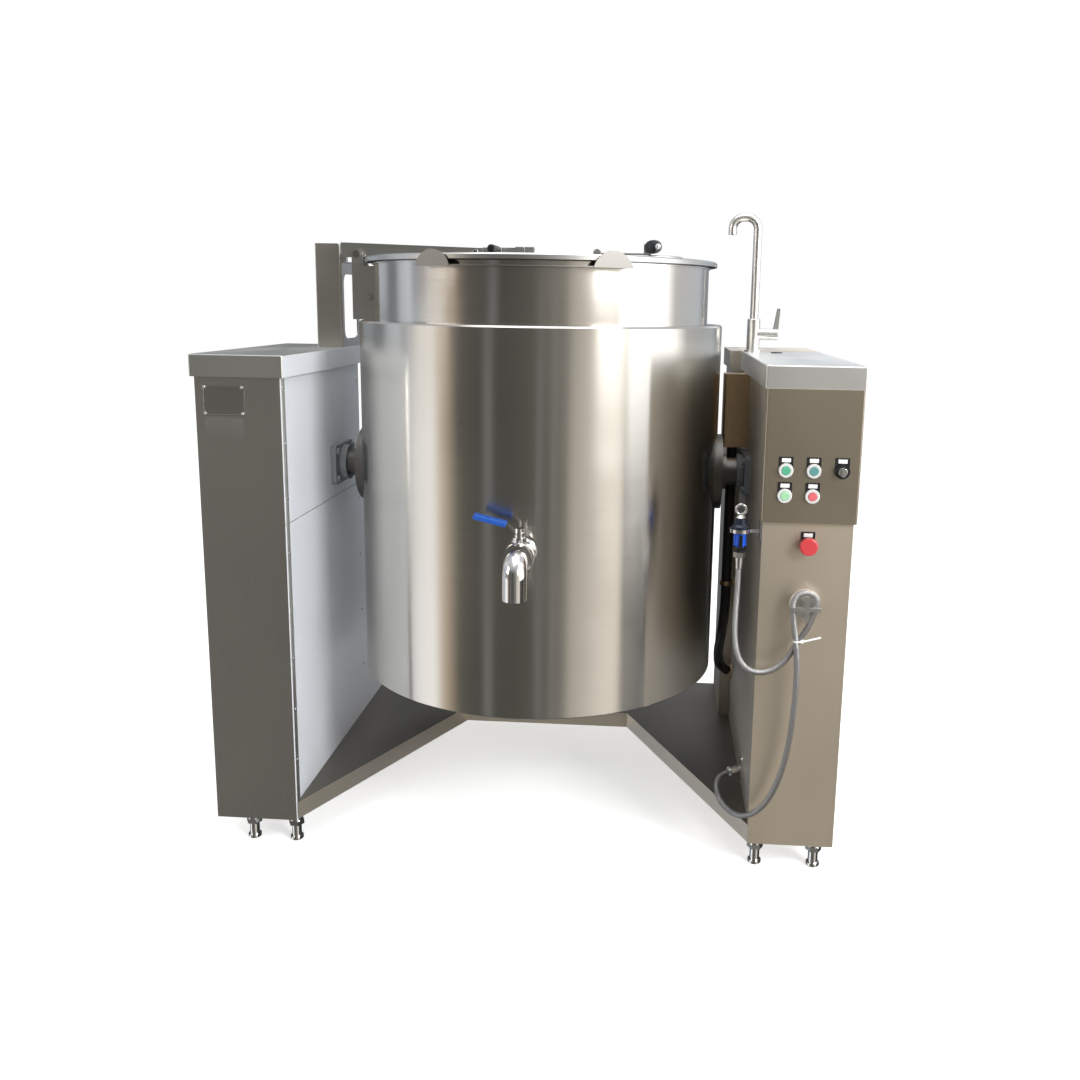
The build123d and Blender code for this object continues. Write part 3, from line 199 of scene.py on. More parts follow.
# %% [markdown]
# Between the two sets lies the line of eye height. To the right a white cloth hangs below it, and its
# lower edge slants: long in front, shorter further round. It gives the bright wedge on the cladding.
# The cloth is a third ramp, which lowers the line where it hangs. Straight up, all panels end in the
# pale ceiling.

# %% The white cloth and the ceiling
cloth_drop = 0.085  # how far the cloth hangs below eye height where it is longest
cloth_edge = [(0.0, 0.0), (0.658, 0.0), (0.670, 1.0), (0.70, 0.95), (0.80, 0.72), (0.92, 0.45), (1.0, 0.3)]
line_low, line_high = -0.027, -0.017  # the line's soft edge, as sines of the angle above level
ceiling = (0.80, 0.82, 0.85, 1)
ceiling_starts, ceiling_whole = 0.45, 0.90
hang = add_node(sky, "ShaderNodeValToRGB", {"Fac": around},
                stops=[(place, (share, share, share, 1)) for place, share in cloth_edge])
edge = add_node(sky, "ShaderNodeMath", {0: hang.outputs["Color"], 1: cloth_drop, 2: axes.outputs["Z"]},
                operation="MULTIPLY_ADD")
level = add_node(sky, "ShaderNodeMapRange",
                 {"Value": edge.outputs[0], "From Min": line_low, "From Max": line_high})
banner = add_node(sky, "ShaderNodeMix", {
    "Factor": level.outputs["Result"], "A": low_banner.outputs["Color"], "B": high_banner.outputs["Color"]},
    data_type="RGBA")
height = add_node(sky, "ShaderNodeMapRange", {
    "Value": axes.outputs["Z"], "From Min": ceiling_starts, "From Max": ceiling_whole})
room = add_node(sky, "ShaderNodeMix", {
    "Factor": height.outputs["Result"], "A": banner.outputs["Result"], "B": ceiling}, data_type="RGBA")
print("cloth hangs from", round(cloth_edge[1][0] * 360 - 180), "degrees to the right of the front")

# %% [markdown]
# Each kind of ray now gets its own world. The camera sees white, the steel sees the room with its
# panels, and all else gets an even white light, so that no panel colours the floor or the plastics.


# %% What each ray sees
def ray_kinds(tree):
    """Two outputs: 1 for a ray straight from the camera, and 1 for a ray by way of steel."""
    rays = add_node(tree, "ShaderNodeLightPath").outputs
    mirrored = add_node(tree, "ShaderNodeMath", {0: rays["Is Glossy Ray"], 1: rays["Is Transmission Ray"]},
                        operation="MAXIMUM")
    return rays["Is Camera Ray"], mirrored.outputs[0]


even_strength = 0.62
from_camera, from_steel = ray_kinds(sky)
backdrop_colour = add_node(sky, "ShaderNodeMix", {
    "Factor": from_camera, "A": room.outputs["Result"], "B": (1, 1, 1, 1)}, data_type="RGBA")
shows_backdrop = add_node(sky, "ShaderNodeMath", {0: from_camera, 1: from_steel}, operation="MAXIMUM")
backdrop = add_node(sky, "ShaderNodeBackground", {"Color": backdrop_colour.outputs["Result"],
                                                  "Strength": 1.0})
even_light = add_node(sky, "ShaderNodeBackground", {"Color": (1, 1, 1, 1), "Strength": even_strength})
which = add_node(sky, "ShaderNodeMixShader", {0: shows_backdrop.outputs[0]})
sky.links.new(even_light.outputs[0], which.inputs[1])
sky.links.new(backdrop.outputs[0], which.inputs[2])
add_node(sky, "ShaderNodeOutputWorld", {"Surface": which.outputs[0]})
print("nodes of the backdrop:", len(sky.nodes))

# %% [markdown]
# The floor is white paper, one large plane. More lamps could bring it to white, but they would wash
# out the kettle's soft shadow. So for the camera it glows a little instead. The steel looks through
# it at the backdrop, which goes on below, so the upright panels run down the whole height of the
# kettle.


# %% The floor
def find_node(tree, kind):
    """The one node of that kind in a material."""
    return next(node for node in tree.nodes if node.type == kind)


floor_glow = 0.56
bpy.ops.mesh.primitive_plane_add(size=40, location=(0, 0, 0))
floor = bpy.context.object
floor.name = "floor"
paper, tree, shader = new_material("white_paper")
shader.inputs["Base Color"].default_value = (0.82, 0.82, 0.82, 1)
shader.inputs["Roughness"].default_value = 0.9
shader.inputs["Specular IOR Level"].default_value = 0.0
from_camera, from_steel = ray_kinds(tree)
glow = add_node(tree, "ShaderNodeMath", {0: from_camera, 1: floor_glow}, operation="MULTIPLY")
shader.inputs["Emission Color"].default_value = (1, 1, 1, 1)
tree.links.new(glow.outputs[0], shader.inputs["Emission Strength"])
see_through = add_node(tree, "ShaderNodeBsdfTransparent")
floor_mix = add_node(tree, "ShaderNodeMixShader", {0: from_steel})
tree.links.new(shader.outputs["BSDF"], floor_mix.inputs[1])
tree.links.new(see_through.outputs[0], floor_mix.inputs[2])
tree.links.new(floor_mix.outputs[0], find_node(tree, "OUTPUT_MATERIAL").inputs["Surface"])
floor.data.materials.append(paper)
print("floor, metres:", tuple(floor.dimensions.xy))

# %% [markdown]
# The lamps light what is not metal. The strongest stands to the right like a tall window: it lights
# the pale inner covers of the left console, and the kettle's shadow darkens their rear half. The
# others are large and weak, so that the plastics keep the colours that they are given.


# %% Lamps
def area_lamp(name, place, target, size, power, tint="ffffff"):
    """A square soft lamp at a place, turned to a target."""
    bpy.ops.object.light_add(type="AREA", location=place)
    lamp = bpy.context.object
    lamp.name = name
    lamp.data.size = size
    lamp.data.energy = power
    lamp.data.color = linear(tint)[:3]
    lamp.rotation_euler = (Vector(target) - Vector(place)).to_track_quat("-Z", "Y").to_euler()


area_lamp("overhead_lamp", (0.3, -0.6, 4.4), (0, 0, 0.6), 3.2, 70)
area_lamp("window_lamp", (3.2, -3.0, 2.7), (-0.53, -0.2, 0.6), 1.3, 140)
area_lamp("left_lamp", (-3.6, -2.0, 2.6), (0, 0, 0.8), 1.8, 30, "fffaf2")
area_lamp("rear_lamp", (1.2, 3.4, 2.8), (0, 0, 0.8), 2.2, 8, "f4f8ff")

# %% [markdown]
# ## Brushed stainless steel
#
# The sheets are stainless steel with a satin grind. Thousands of fine parallel scratches spread each
# reflection across their direction and leave it sharp along them. That is what draws the long upright
# streaks on the round cladding: its scratches run round it. A bump of every scratch would flicker and
# take many samples, so the shader's anisotropy does this, with a tangent that runs round the upright
# axis. The scratches themselves are a tenth of a millimetre wide. They are drawn 0.7 mm wide, faint,
# so that they show from near by. A second, large and soft noise is the handling: wiped patches that
# are slightly duller.


# %% A function for the steel finishes
def brushed_steel(name, hex_value, roughness, spread, grain_along="Z", grain=0.02, contrast=0.03,
                  smears=0.03):
    """Satin-ground stainless steel. spread is the anisotropy. grain_along is X, Y, Z, or round."""
    material, tree, shader = new_material(name)
    shader.inputs["Metallic"].default_value = 1.0
    shader.inputs["Anisotropic"].default_value = spread
    shader.inputs["Anisotropic Rotation"].default_value = 0.25 if grain_along == "round" else 0.0
    upright = add_node(tree, "ShaderNodeTangent", direction_type="RADIAL", axis="Z")
    tree.links.new(upright.outputs[0], shader.inputs["Tangent"])
    fine = 1 / (0.7 * MM)
    long = 3.0  # a scratch is about a third of a metre long
    stretch = {"X": (long, fine, fine), "Y": (fine, long, fine), "Z": (fine, fine, long),
               "round": (long, long, fine)}[grain_along]
    place = add_node(tree, "ShaderNodeTexCoord").outputs["Object"]
    scratches = add_node(tree, "ShaderNodeMapping", {"Vector": place, "Scale": stretch})
    lines = add_node(tree, "ShaderNodeTexNoise",
                     {"Vector": scratches.outputs[0], "Scale": 1.0, "Detail": 3.0, "Roughness": 0.6})
    patch = 384.6 * MM
    clouds = add_node(tree, "ShaderNodeTexNoise", {"Vector": place, "Scale": 1 / patch, "Detail": 3.0,
                                                   "Distortion": 0.8})
    rough_lines = add_node(tree, "ShaderNodeMapRange", {
        "Value": lines.outputs["Fac"], "From Min": 0.3, "From Max": 0.7,
        "To Min": roughness - grain, "To Max": roughness + grain})
    rough_clouds = add_node(tree, "ShaderNodeMapRange", {
        "Value": clouds.outputs["Fac"], "From Min": 0.35, "From Max": 0.7,
        "To Min": -smears, "To Max": smears})
    total = add_node(tree, "ShaderNodeMath", {0: rough_lines.outputs[0], 1: rough_clouds.outputs[0]},
                     operation="ADD")
    tree.links.new(total.outputs[0], shader.inputs["Roughness"])
    r, g, b, _ = linear(hex_value)
    low, high = 1 - contrast, 1 + contrast
    tone = add_node(tree, "ShaderNodeValToRGB", {"Fac": lines.outputs["Fac"]}, stops=[
        (0.30, (r * low, g * low, b * low, 1)), (0.70, (r * high, g * high, b * high, 1))])
    tree.links.new(tone.outputs["Color"], shader.inputs["Base Color"])
    return material


print("helper ready:", brushed_steel.__name__)

# %% [markdown]
# All steels come from that one function, because on the real kettle it is one metal ground in
# different ways. The cladding and the neck are ground round and fine: they mirror the room in long
# upright bands. The consoles' flat sheets are duller, and show it as soft clouds. The caps and the lid
# are ground along their length and catch the light from above. The lip is matt and dark, and the
# trunnions are turned forgings with a dark skin. The duct beside the box is tinted brown: a painted
# reflection of the brown that it mirrors in its gap.

# %% The steels of this kettle
sheet_steel = brushed_steel("satin_sheet_steel", "d4d1cc", 0.28, 0.6, grain=0.004, contrast=0.008,
                            smears=0.015)
cap_steel = brushed_steel("ground_cap_steel", "ebebe8", 0.40, 0.2, grain_along="Y", grain=0.012)
lip_steel = brushed_steel("matt_lip_steel", "8e8c88", 0.45, 0.2, grain_along="X")
faucet_steel = brushed_steel("satin_faucet_steel", "e6e5e2", 0.30, 0.3)
jacket_steel = brushed_steel("round_ground_steel", "c9c6c0", 0.20, 0.88, grain_along="round")
neck_steel = brushed_steel("fine_ground_steel", "d0cdc8", 0.16, 0.7, grain_along="round")
# the control box gets a darker copy of the console's steel: painted shade on its front
box_steel_painted_shade = brushed_steel("control_box_steel", "c4b9a7", 0.36, 0.5, grain=0.008, contrast=0.012)
lid_steel = brushed_steel("lid_steel", "cacac8", 0.30, 0.3, grain_along="X")
forged_steel = brushed_steel("turned_forging", "6c6a67", 0.42, 0.1, grain_along="X")
# the duct's brown tint is a painted reflection
duct_steel_painted_reflection = brushed_steel("duct_steel_painted_reflection", "c9ae8e", 0.28, 0.4)
print("steel finishes:", len(bpy.data.materials) - 1)

# %% [markdown]
# The covers on the left console's inner side still wear the thin protective film of new sheet metal.
# It is a bluish white skin over the steel, so part of its light is scattered and part is mirrored. A
# second, clear sheet could lie over each cover. From here one surface does the same, with metallic
# between 0 and 1: for that reason only.

# %% Filmed panels
film_panel = brushed_steel("filmed_panel_steel", "f0f4fa", 0.34, 0.2)
film_metallic = 0.15
find_node(film_panel.node_tree, "BSDF_PRINCIPLED").inputs["Metallic"].default_value = film_metallic
print("film, metallic:", film_metallic)

# %% [markdown]
# The left cap is ground steel too, and the same film still covers its flange towards the kettle. The
# cap could be cut in two pieces with two materials. It is one folded sheet, so one material changes
# at a place along X: less metallic and paler beyond it.


# %% Filmed flange of the left cap
def change_finish(material, axis, limit, other_tone, other_metallic):
    """Beyond a limit along X, Y or Z, a material gets another tone and metallic value."""
    tree = material.node_tree
    shader = find_node(tree, "BSDF_PRINCIPLED")
    first_tone = shader.inputs["Base Color"].links[0].from_socket
    place = add_node(tree, "ShaderNodeTexCoord").outputs["Object"]
    along = add_node(tree, "ShaderNodeSeparateXYZ", {"Vector": place}).outputs[axis]
    beyond = add_node(tree, "ShaderNodeMath", {0: along, 1: limit}, operation="GREATER_THAN")
    tones = add_node(tree, "ShaderNodeMix", {"Factor": beyond.outputs[0], "A": first_tone,
                                             "B": linear(other_tone)}, data_type="RGBA")
    tree.links.new(tones.outputs["Result"], shader.inputs["Base Color"])
    if other_metallic < 1:
        metal = add_node(tree, "ShaderNodeMapRange", {"Value": beyond.outputs[0], "To Min": 1.0,
                                                      "To Max": other_metallic})
        tree.links.new(metal.outputs[0], shader.inputs["Metallic"])


left_cap_steel = brushed_steel("filmed_cap_steel", "d2d2ce", 0.38, 0.2, grain_along="Y", grain=0.012)
flange_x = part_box("left_console_cap")[1][0] - 0.4 * MM
change_finish(left_cap_steel, "X", flange_x, "f0f4fa", film_metallic)
print("film beyond x, mm:", round(flange_x * 1000, 1))

# %% [markdown]
# The base trays are painted darker on top. This is painted shade, standing in for the kettle's shadow
# and its dark reflection. Their folded edges below keep the bright ground tone. The same function
# does it, with the change along Z.

# %% Painted shade on the tray tops, bright tray edges
tray_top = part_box("base_wing_left")[1][2]
tray_steel_painted_shade = brushed_steel("tray_steel_painted_shade", "e4dccf", 0.50, 0.3, grain_along="Y", grain=0.01)
# the darker tone on the tray tops is painted shade
change_finish(tray_steel_painted_shade, "Z", tray_top - 0.4 * MM, "76726b", 1.0)
print("tray top, mm:", round(tray_top * 1000, 1))

# %% [markdown]
# The right console is ground on its front and its outer side. The side towards the kettle is painted
# paler and yellower, as painted light: the dark kettle close by leaves it little to mirror, and with
# the tone of the front it would look black. Here again one folded sheet has one material, which
# changes along X.

# %% The right console's front, and painted light on its inner side
console_inner_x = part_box("right_console_shell")[0][0]
warm_steel_with_painted_light = brushed_steel("satin_sheet_steel_warm_painted_light", "d2ccc2", 0.44, 0.4, grain=0.012,
                                 contrast=0.015)
# the paler, yellower tone beyond this limit is painted light on the inner side
change_finish(warm_steel_with_painted_light, "X", console_inner_x + 0.3 * MM, "f2e6d4", 1.0)
print("right console's inner side, mm:", round(console_inner_x * 1000, 1))

# %% [markdown]
# ## Polished and dark metals
#
# The drain valve and the small fittings are polished steel: the same metal with a smooth surface,
# which mirrors the room sharply. An even mirror would look like chrome plating, so a noise adds a
# trace of wear, in spots of about 17 mm. The right bearing is a casting under grey paint. The grain
# of the sand, about 3 mm, shows through the paint, as a little relief and a broken highlight.

# %% Polished steel and a painted casting
wear_spot = 16.67 * MM
sand_grain = 2.857 * MM
polished_steel, tree, shader = new_material("polished_steel")
shader.inputs["Base Color"].default_value = linear("d8d8d8")
shader.inputs["Metallic"].default_value = 1.0
place = add_node(tree, "ShaderNodeTexCoord").outputs["Object"]
wear = add_node(tree, "ShaderNodeTexNoise", {"Vector": place, "Scale": 1 / wear_spot, "Detail": 4.0})
wear_range = add_node(tree, "ShaderNodeMapRange", {"Value": wear.outputs["Fac"], "From Min": 0.35,
                                                   "From Max": 0.7, "To Min": 0.07, "To Max": 0.16})
tree.links.new(wear_range.outputs[0], shader.inputs["Roughness"])

grey_casting, tree, shader = new_material("painted_grey_casting")
shader.inputs["Base Color"].default_value = linear("54575a")
place = add_node(tree, "ShaderNodeTexCoord").outputs["Object"]
skin = add_node(tree, "ShaderNodeTexNoise", {"Vector": place, "Scale": 1 / sand_grain, "Detail": 3.0})
skin_range = add_node(tree, "ShaderNodeMapRange", {"Value": skin.outputs["Fac"], "To Min": 0.4,
                                                   "To Max": 0.65})
tree.links.new(skin_range.outputs[0], shader.inputs["Roughness"])
skin_bump = add_node(tree, "ShaderNodeBump", {"Height": skin.outputs["Fac"], "Strength": 0.25,
                                              "Distance": 1 * MM})
tree.links.new(skin_bump.outputs[0], shader.inputs["Normal"])
print("made:", polished_steel.name, grey_casting.name)

# %% [markdown]
# ## Plastics
#
# Push buttons are glossy moulded plastic, grips are duller, and the drain lever's grip is a sleeve of
# dipped vinyl. None of them is quite even: a fine orange peel moves their highlights. A flat colour
# would look cut out, so one noise drives a faint change of tone, the roughness and the relief. Rubber
# and thick machine paint have the same kind of skin, so the function makes these too.


# %% A function for the moulded plastics
def moulded_plastic(name, hex_value, roughness, peel=0.08, peel_size_mm=2.0):
    """Moulded plastic with an orange peel of the given strength and size."""
    material, tree, shader = new_material(name)
    place = add_node(tree, "ShaderNodeTexCoord").outputs["Object"]
    bumps = add_node(tree, "ShaderNodeTexNoise",
                     {"Vector": place, "Scale": 1 / (peel_size_mm * MM), "Detail": 2.0})
    r, g, b, _ = linear(hex_value)
    darker = (r * 0.92, g * 0.92, b * 0.92, 1)
    lighter = (min(1, r * 1.06), min(1, g * 1.06), min(1, b * 1.06), 1)
    tone = add_node(tree, "ShaderNodeValToRGB", {"Fac": bumps.outputs["Fac"]},
                    stops=[(0.2, darker), (0.8, lighter)])
    tree.links.new(tone.outputs["Color"], shader.inputs["Base Color"])
    spread = add_node(tree, "ShaderNodeMapRange", {"Value": bumps.outputs["Fac"],
                                                   "To Min": roughness * 0.8, "To Max": roughness * 1.2})
    tree.links.new(spread.outputs[0], shader.inputs["Roughness"])
    relief = add_node(tree, "ShaderNodeBump", {"Height": bumps.outputs["Fac"], "Strength": peel,
                                               "Distance": 0.5 * MM})
    tree.links.new(relief.outputs[0], shader.inputs["Normal"])
    return material


green_cap = moulded_plastic("green_button_plastic", "55a884", 0.25)
teal_cap = moulded_plastic("teal_button_plastic", "5b8f8c", 0.25)
pale_green_cap = moulded_plastic("pale_green_button_plastic", "98cba0", 0.25)
red_cap = moulded_plastic("red_button_plastic", "d2666c", 0.25)
stop_red = moulded_plastic("emergency_stop_plastic", "c43c40", 0.3)
white_ring = moulded_plastic("white_bezel_plastic", "cfd0ce", 0.28)
black_grip = moulded_plastic("black_grip_plastic", "141415", 0.32)
black_holder = moulded_plastic("black_holder_plastic", "1b1b1d", 0.4)
blue_grip = moulded_plastic("blue_dipped_vinyl", "1650ac", 0.38, peel=0.3, peel_size_mm=5.0)
nylon_white = moulded_plastic("white_nylon", "f0f0ee", 0.35)
black_rubber = moulded_plastic("black_conduit_rubber", "19191a", 0.5)
grey_paint = moulded_plastic("grey_machine_paint", "6d7378", 0.45)
# the left bearing gets a paler copy of the bearing paint: painted light, so it blends into the shaded panel
lightened_bearing_paint = moulded_plastic("pale_grey_bearing_paint_painted_light", "8b8e91", 0.5, peel=0.2, peel_size_mm=3.0)
print("materials so far:", len(bpy.data.materials))

# %% [markdown]
# The spray gun is one solid with four finishes from the bottom up: black plastic, a blue sleeve, dark
# again above the ring that holds it, and a steel eye. It never moves in its ring, so the finish can
# simply follow the height, through a ramp with hard steps.

# %% The spray gun's finishes
gun_low, gun_high, eye_starts = 0.750, 0.850, 0.84
gun_grain_size = 2.5 * MM
gun_finish, tree, shader = new_material("spray_gun_finishes")
place = add_node(tree, "ShaderNodeTexCoord").outputs["Object"]
gun_height = add_node(tree, "ShaderNodeSeparateXYZ", {"Vector": place}).outputs["Z"]
up_the_gun = add_node(tree, "ShaderNodeMapRange", {"Value": gun_height, "From Min": gun_low,
                                                   "From Max": gun_high})
gun_tone = add_node(tree, "ShaderNodeValToRGB", {"Fac": up_the_gun.outputs[0]}, stops=[
    (0.0, linear("161617")), (0.22, linear("1550c8")), (0.54, linear("1a2233")),
    (eye_starts, linear("d0d0d0"))])
gun_tone.color_ramp.interpolation = "CONSTANT"
tree.links.new(gun_tone.outputs["Color"], shader.inputs["Base Color"])
is_eye = add_node(tree, "ShaderNodeMath", {0: up_the_gun.outputs[0], 1: eye_starts},
                  operation="GREATER_THAN")
tree.links.new(is_eye.outputs[0], shader.inputs["Metallic"])
gun_grain = add_node(tree, "ShaderNodeTexNoise", {"Vector": place, "Scale": 1 / gun_grain_size,
                                                  "Detail": 2.0})
gun_rough = add_node(tree, "ShaderNodeMapRange", {"Value": gun_grain.outputs["Fac"], "To Min": 0.18,
                                                  "To Max": 0.34})
tree.links.new(gun_rough.outputs[0], shader.inputs["Roughness"])
print("gun's colours from the bottom up:", len(gun_tone.color_ramp.elements))

# %% [markdown]
# ## Dressing the solids
#
# Every solid of the frame now gets its finish. They could be dressed one by one. Groups are easier to
# check against the real kettle: sheets, round shells, castings, fittings and plastics. The last line
# says if one was left out.


# %% Dress the solids
def dress(names, material):
    """Gives CAD nodes one material all over."""
    for name in names:
        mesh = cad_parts[name].data
        mesh.materials.clear()
        mesh.materials.append(material)


dress(["left_console_shell", "rest_post", "rest_frame"], sheet_steel)
dress(["right_console_shell", "right_rear_cabinet"], warm_steel_with_painted_light)
dress(["control_box"], box_steel_painted_shade)
dress(["left_panel_upper", "left_panel_lower"], film_panel)
dress(["left_console_cap"], left_cap_steel)
dress(["right_console_cap"], cap_steel)
dress(["jacket_cladding", "jacket_bottom_cover"], jacket_steel)
dress(["neck_band", "cooking_pan", "steam_jacket"], neck_steel)
dress(["lid_plate", "lid_arm", "hatch_cover", "lid_hinge_bracket"], lid_steel)
dress(["pouring_lip"], lip_steel)
dress(["faucet_body", "faucet_spout", "faucet_lever", "hose_hook", "selector_knob"], faucet_steel)
dress(["base_wing_left", "base_wing_right", "base_centre_deck"], tray_steel_painted_shade)
dress(["conduit_duct"], duct_steel_painted_reflection)
dress(["trunnion_left", "trunnion_right"], forged_steel)
dress(["foot_sockets", "foot_bullets", "steam_inlet_pipe", "lid_hinge_pin", "drain_valve_body",
       "drain_valve_ball", "drain_lever", "drain_elbow", "spray_holder", "hose_connector",
       "hose_fitting", "water_hose"], polished_steel)
dress(["bearing_right"], grey_casting)
dress(["bearing_left"], lightened_bearing_paint)
dress(["tilt_gear_motor"], grey_paint)
dress(["button_bezels"], white_ring)
dress(["legend_holders", "contact_blocks"], black_holder)
dress(["lid_handle", "hatch_grip", "spray_trigger"], black_grip)
dress(["drain_lever_grip"], blue_grip)
dress(["power_conduit"], black_rubber)
dress(["start_button"], green_cap)
dress(["tilt_up_button"], teal_cap)
dress(["tilt_down_button"], pale_green_cap)
dress(["stop_button"], red_cap)
dress(["emergency_stop_button"], stop_red)
dress(["spray_gun"], gun_finish)
undressed = [name for name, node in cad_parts.items() if not node.data.materials]
print("without a material:", undressed)

# %% [markdown]
# ## The braided hose
#
# The water hose is rubber in a braid of steel wire, 13 mm thick. It leaves the gun, loops over the
# hook and runs down to its fitting on the console. A curve with a round bevel would show it too, but
# it carries no map of real lengths, and the braid needs one. So the line is one smooth spline through
# a handful of places, in millimetres, and the tube is built along that line.

# %% The hose's line
hose_radius = 6.5 * MM
fitting_centre = Vector((530, -209, 166)) * MM
fitting_direction = Vector((-0.82, -0.57, 0)).normalized()
hose_points = [Vector(p) * MM for p in (
    (485, -380, 732.4), (484, -382, 668), (480, -396, 592), (484, -416, 534), (507, -430, 500),
    (550, -434, 496), (588, -434, 521), (615, -431, 568), (644, -429, 618), (658, -429, 669),
    (628, -431, 687), (598, -434, 669), (604, -441, 614), (613, -447, 556), (616, -448, 482),
    (613, -446, 402), (606, -443, 324), (592, -439, 254), (570, -432, 194), (538, -424, 153),
    (504, -398, 135), (478, -352, 134), (463, -311, 145), (463, -273, 158), (476, -247, 165))]
straight_end = 40 * MM
hose_points.append(fitting_centre + fitting_direction * straight_end)


def spline_line(points, name):
    """Points along a smooth spline, read from a curve that has no thickness."""
    curve = bpy.data.curves.new(name, "CURVE")
    curve.dimensions = "3D"
    curve.resolution_u = 16
    spline = curve.splines.new("NURBS")
    spline.points.add(len(points) - 1)
    for point, place in zip(spline.points, points):
        point.co = (*place, 1)
    spline.use_endpoint_u = True
    spline.order_u = 3
    holder = bpy.data.objects.new(name, curve)
    bpy.context.scene.collection.objects.link(holder)
    bpy.context.view_layer.update()
    flat = bpy.data.meshes.new_from_object(holder.evaluated_get(bpy.context.evaluated_depsgraph_get()))
    line = [vertex.co.copy() for vertex in flat.vertices]
    bpy.data.objects.remove(holder)
    return line


hose_line = spline_line(hose_points, "hose_line")

# %% [markdown]
# A tube is rings of points across the line. Each ring is carried on from the one before with the
# smallest turn, so the braid doesn't twist. Its map counts metres round and along the hose.


# %% The hose's tube
def tube_mesh(name, line, radius, sides):
    """A round tube along a line, open at both ends, with a map in metres round and along it."""
    shape = bmesh.new()
    rings = []
    stations = [0.0]
    across = None
    for i, place in enumerate(line):
        ahead = (line[min(i + 1, len(line) - 1)] - line[max(i - 1, 0)]).normalized()
        if across is None:
            across = ahead.orthogonal().normalized()
        across = (across - ahead * across.dot(ahead)).normalized()
        other = ahead.cross(across)
        rings.append([shape.verts.new(place + (across * cos(a) + other * sin(a)) * radius)
                      for a in (2 * pi * k / sides for k in range(sides))])
        if i:
            stations.append(stations[-1] + (place - line[i - 1]).length)
    layer = shape.loops.layers.uv.new("along")
    for i in range(len(rings) - 1):
        for k in range(sides):
            face = shape.faces.new((rings[i][k], rings[i][(k + 1) % sides],
                                    rings[i + 1][(k + 1) % sides], rings[i + 1][k]))
            face.smooth = True
            for loop, (u, v) in zip(face.loops, ((k, i), (k + 1, i), (k + 1, i + 1), (k, i + 1))):
                loop[layer].uv = (2 * pi * radius * u / sides, stations[v])
    mesh = bpy.data.meshes.new(name)
    shape.to_mesh(mesh)
    shape.free()
    piece = bpy.data.objects.new(name, mesh)
    bpy.context.scene.collection.objects.link(piece)
    return piece


hose = tube_mesh("braided_hose", hose_line, hose_radius, 20)
print("hose faces:", len(hose.data.polygons))

# %% [markdown]
# The braid is two sets of wires that wind round the hose in opposite directions. Wires of their own
# would be many thousand faces for something a pixel wide. Each set is a wave on the map instead.
# Where both waves are high there is a crossing, painted bright as a painted highlight, and the steel
# between the crossings is painted dark as painted shade; a bump raises the crossings too. The real
# step between the wires is near 1.5 mm. It is drawn 4.5 mm wide so that the braid shows at all.

# %% The braid
braid_step = 4.5 * MM
braid, tree, shader = new_material("steel_wire_braid")
hose_map = add_node(tree, "ShaderNodeUVMap", uv_map="along")
parts = add_node(tree, "ShaderNodeSeparateXYZ", {"Vector": hose_map.outputs[0]})
waves = []
for winding in ("ADD", "SUBTRACT"):
    along = add_node(tree, "ShaderNodeMath", {0: parts.outputs["X"], 1: parts.outputs["Y"]},
                     operation=winding)
    turns = add_node(tree, "ShaderNodeMath", {0: along.outputs[0], 1: 2 * pi / braid_step},
                     operation="MULTIPLY")
    waves.append(add_node(tree, "ShaderNodeMath", {0: turns.outputs[0]}, operation="SINE").outputs[0])
product = add_node(tree, "ShaderNodeMath", {0: waves[0], 1: waves[1]}, operation="MULTIPLY")
weave = add_node(tree, "ShaderNodeMapRange", {"Value": product.outputs[0], "From Min": -1.0})
# the ramp paints a highlight on the crossings and shade in the gaps between the wires
braid_painted_highlight_shade = add_node(tree, "ShaderNodeValToRGB", {"Fac": weave.outputs[0]},
                        stops=[(0.15, linear("565658")), (0.7, linear("c4c4c6"))])
tree.links.new(braid_painted_highlight_shade.outputs["Color"], shader.inputs["Base Color"])
shader.inputs["Metallic"].default_value = 1.0
shader.inputs["Roughness"].default_value = 0.33
braid_bump = add_node(tree, "ShaderNodeBump", {"Height": weave.outputs[0], "Strength": 0.7,
                                               "Distance": 0.8 * MM})
tree.links.new(braid_bump.outputs[0], shader.inputs["Normal"])
print("braid step, mm:", round(braid_step * 1000, 1))

# %% [markdown]
# The hose takes the place of the plain tube among the solids: the tube is hidden, and the hose rides
# on the stand.

# %% The hose in place of the tube
hose.data.materials.append(braid)
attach(hose, "stand")
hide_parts("water_hose")
print("cord points:", len(hose_line))

# %% [markdown]
# ## Small pieces
#
# Two functions make almost all of them: a block between two corners, and a disc along an axis. Both
# start from a primitive at its real size and get their edges rounded, because a sharp edge never
# catches the light and gives a model away. From here on the numbers are millimetres.


# %% A rounded block and a rounded disc
def round_edges(width, steps):
    """Rounds the sharp edges of the active piece, in so many steps, and smooths its faces."""
    piece = bpy.context.object
    bevel = piece.modifiers.new("edges", "BEVEL")
    bevel.width = width * MM
    bevel.segments = steps
    bevel.limit_method = "ANGLE"
    bpy.ops.object.modifier_apply(modifier="edges")
    bpy.ops.object.shade_smooth_by_angle(angle=radians(40))


def block(low, high, edge):
    """A block between two corners, with rounded edges. It stays the active piece."""
    bpy.ops.object.select_all(action="DESELECT")
    low, high = Vector(low), Vector(high)
    bpy.ops.mesh.primitive_cube_add(size=1, location=(low + high) / 2 * MM)
    bpy.ops.transform.resize(value=tuple((high - low) * MM))
    bpy.ops.object.transform_apply(location=True, rotation=True, scale=True)
    round_edges(edge, steps=2)
    return bpy.context.object


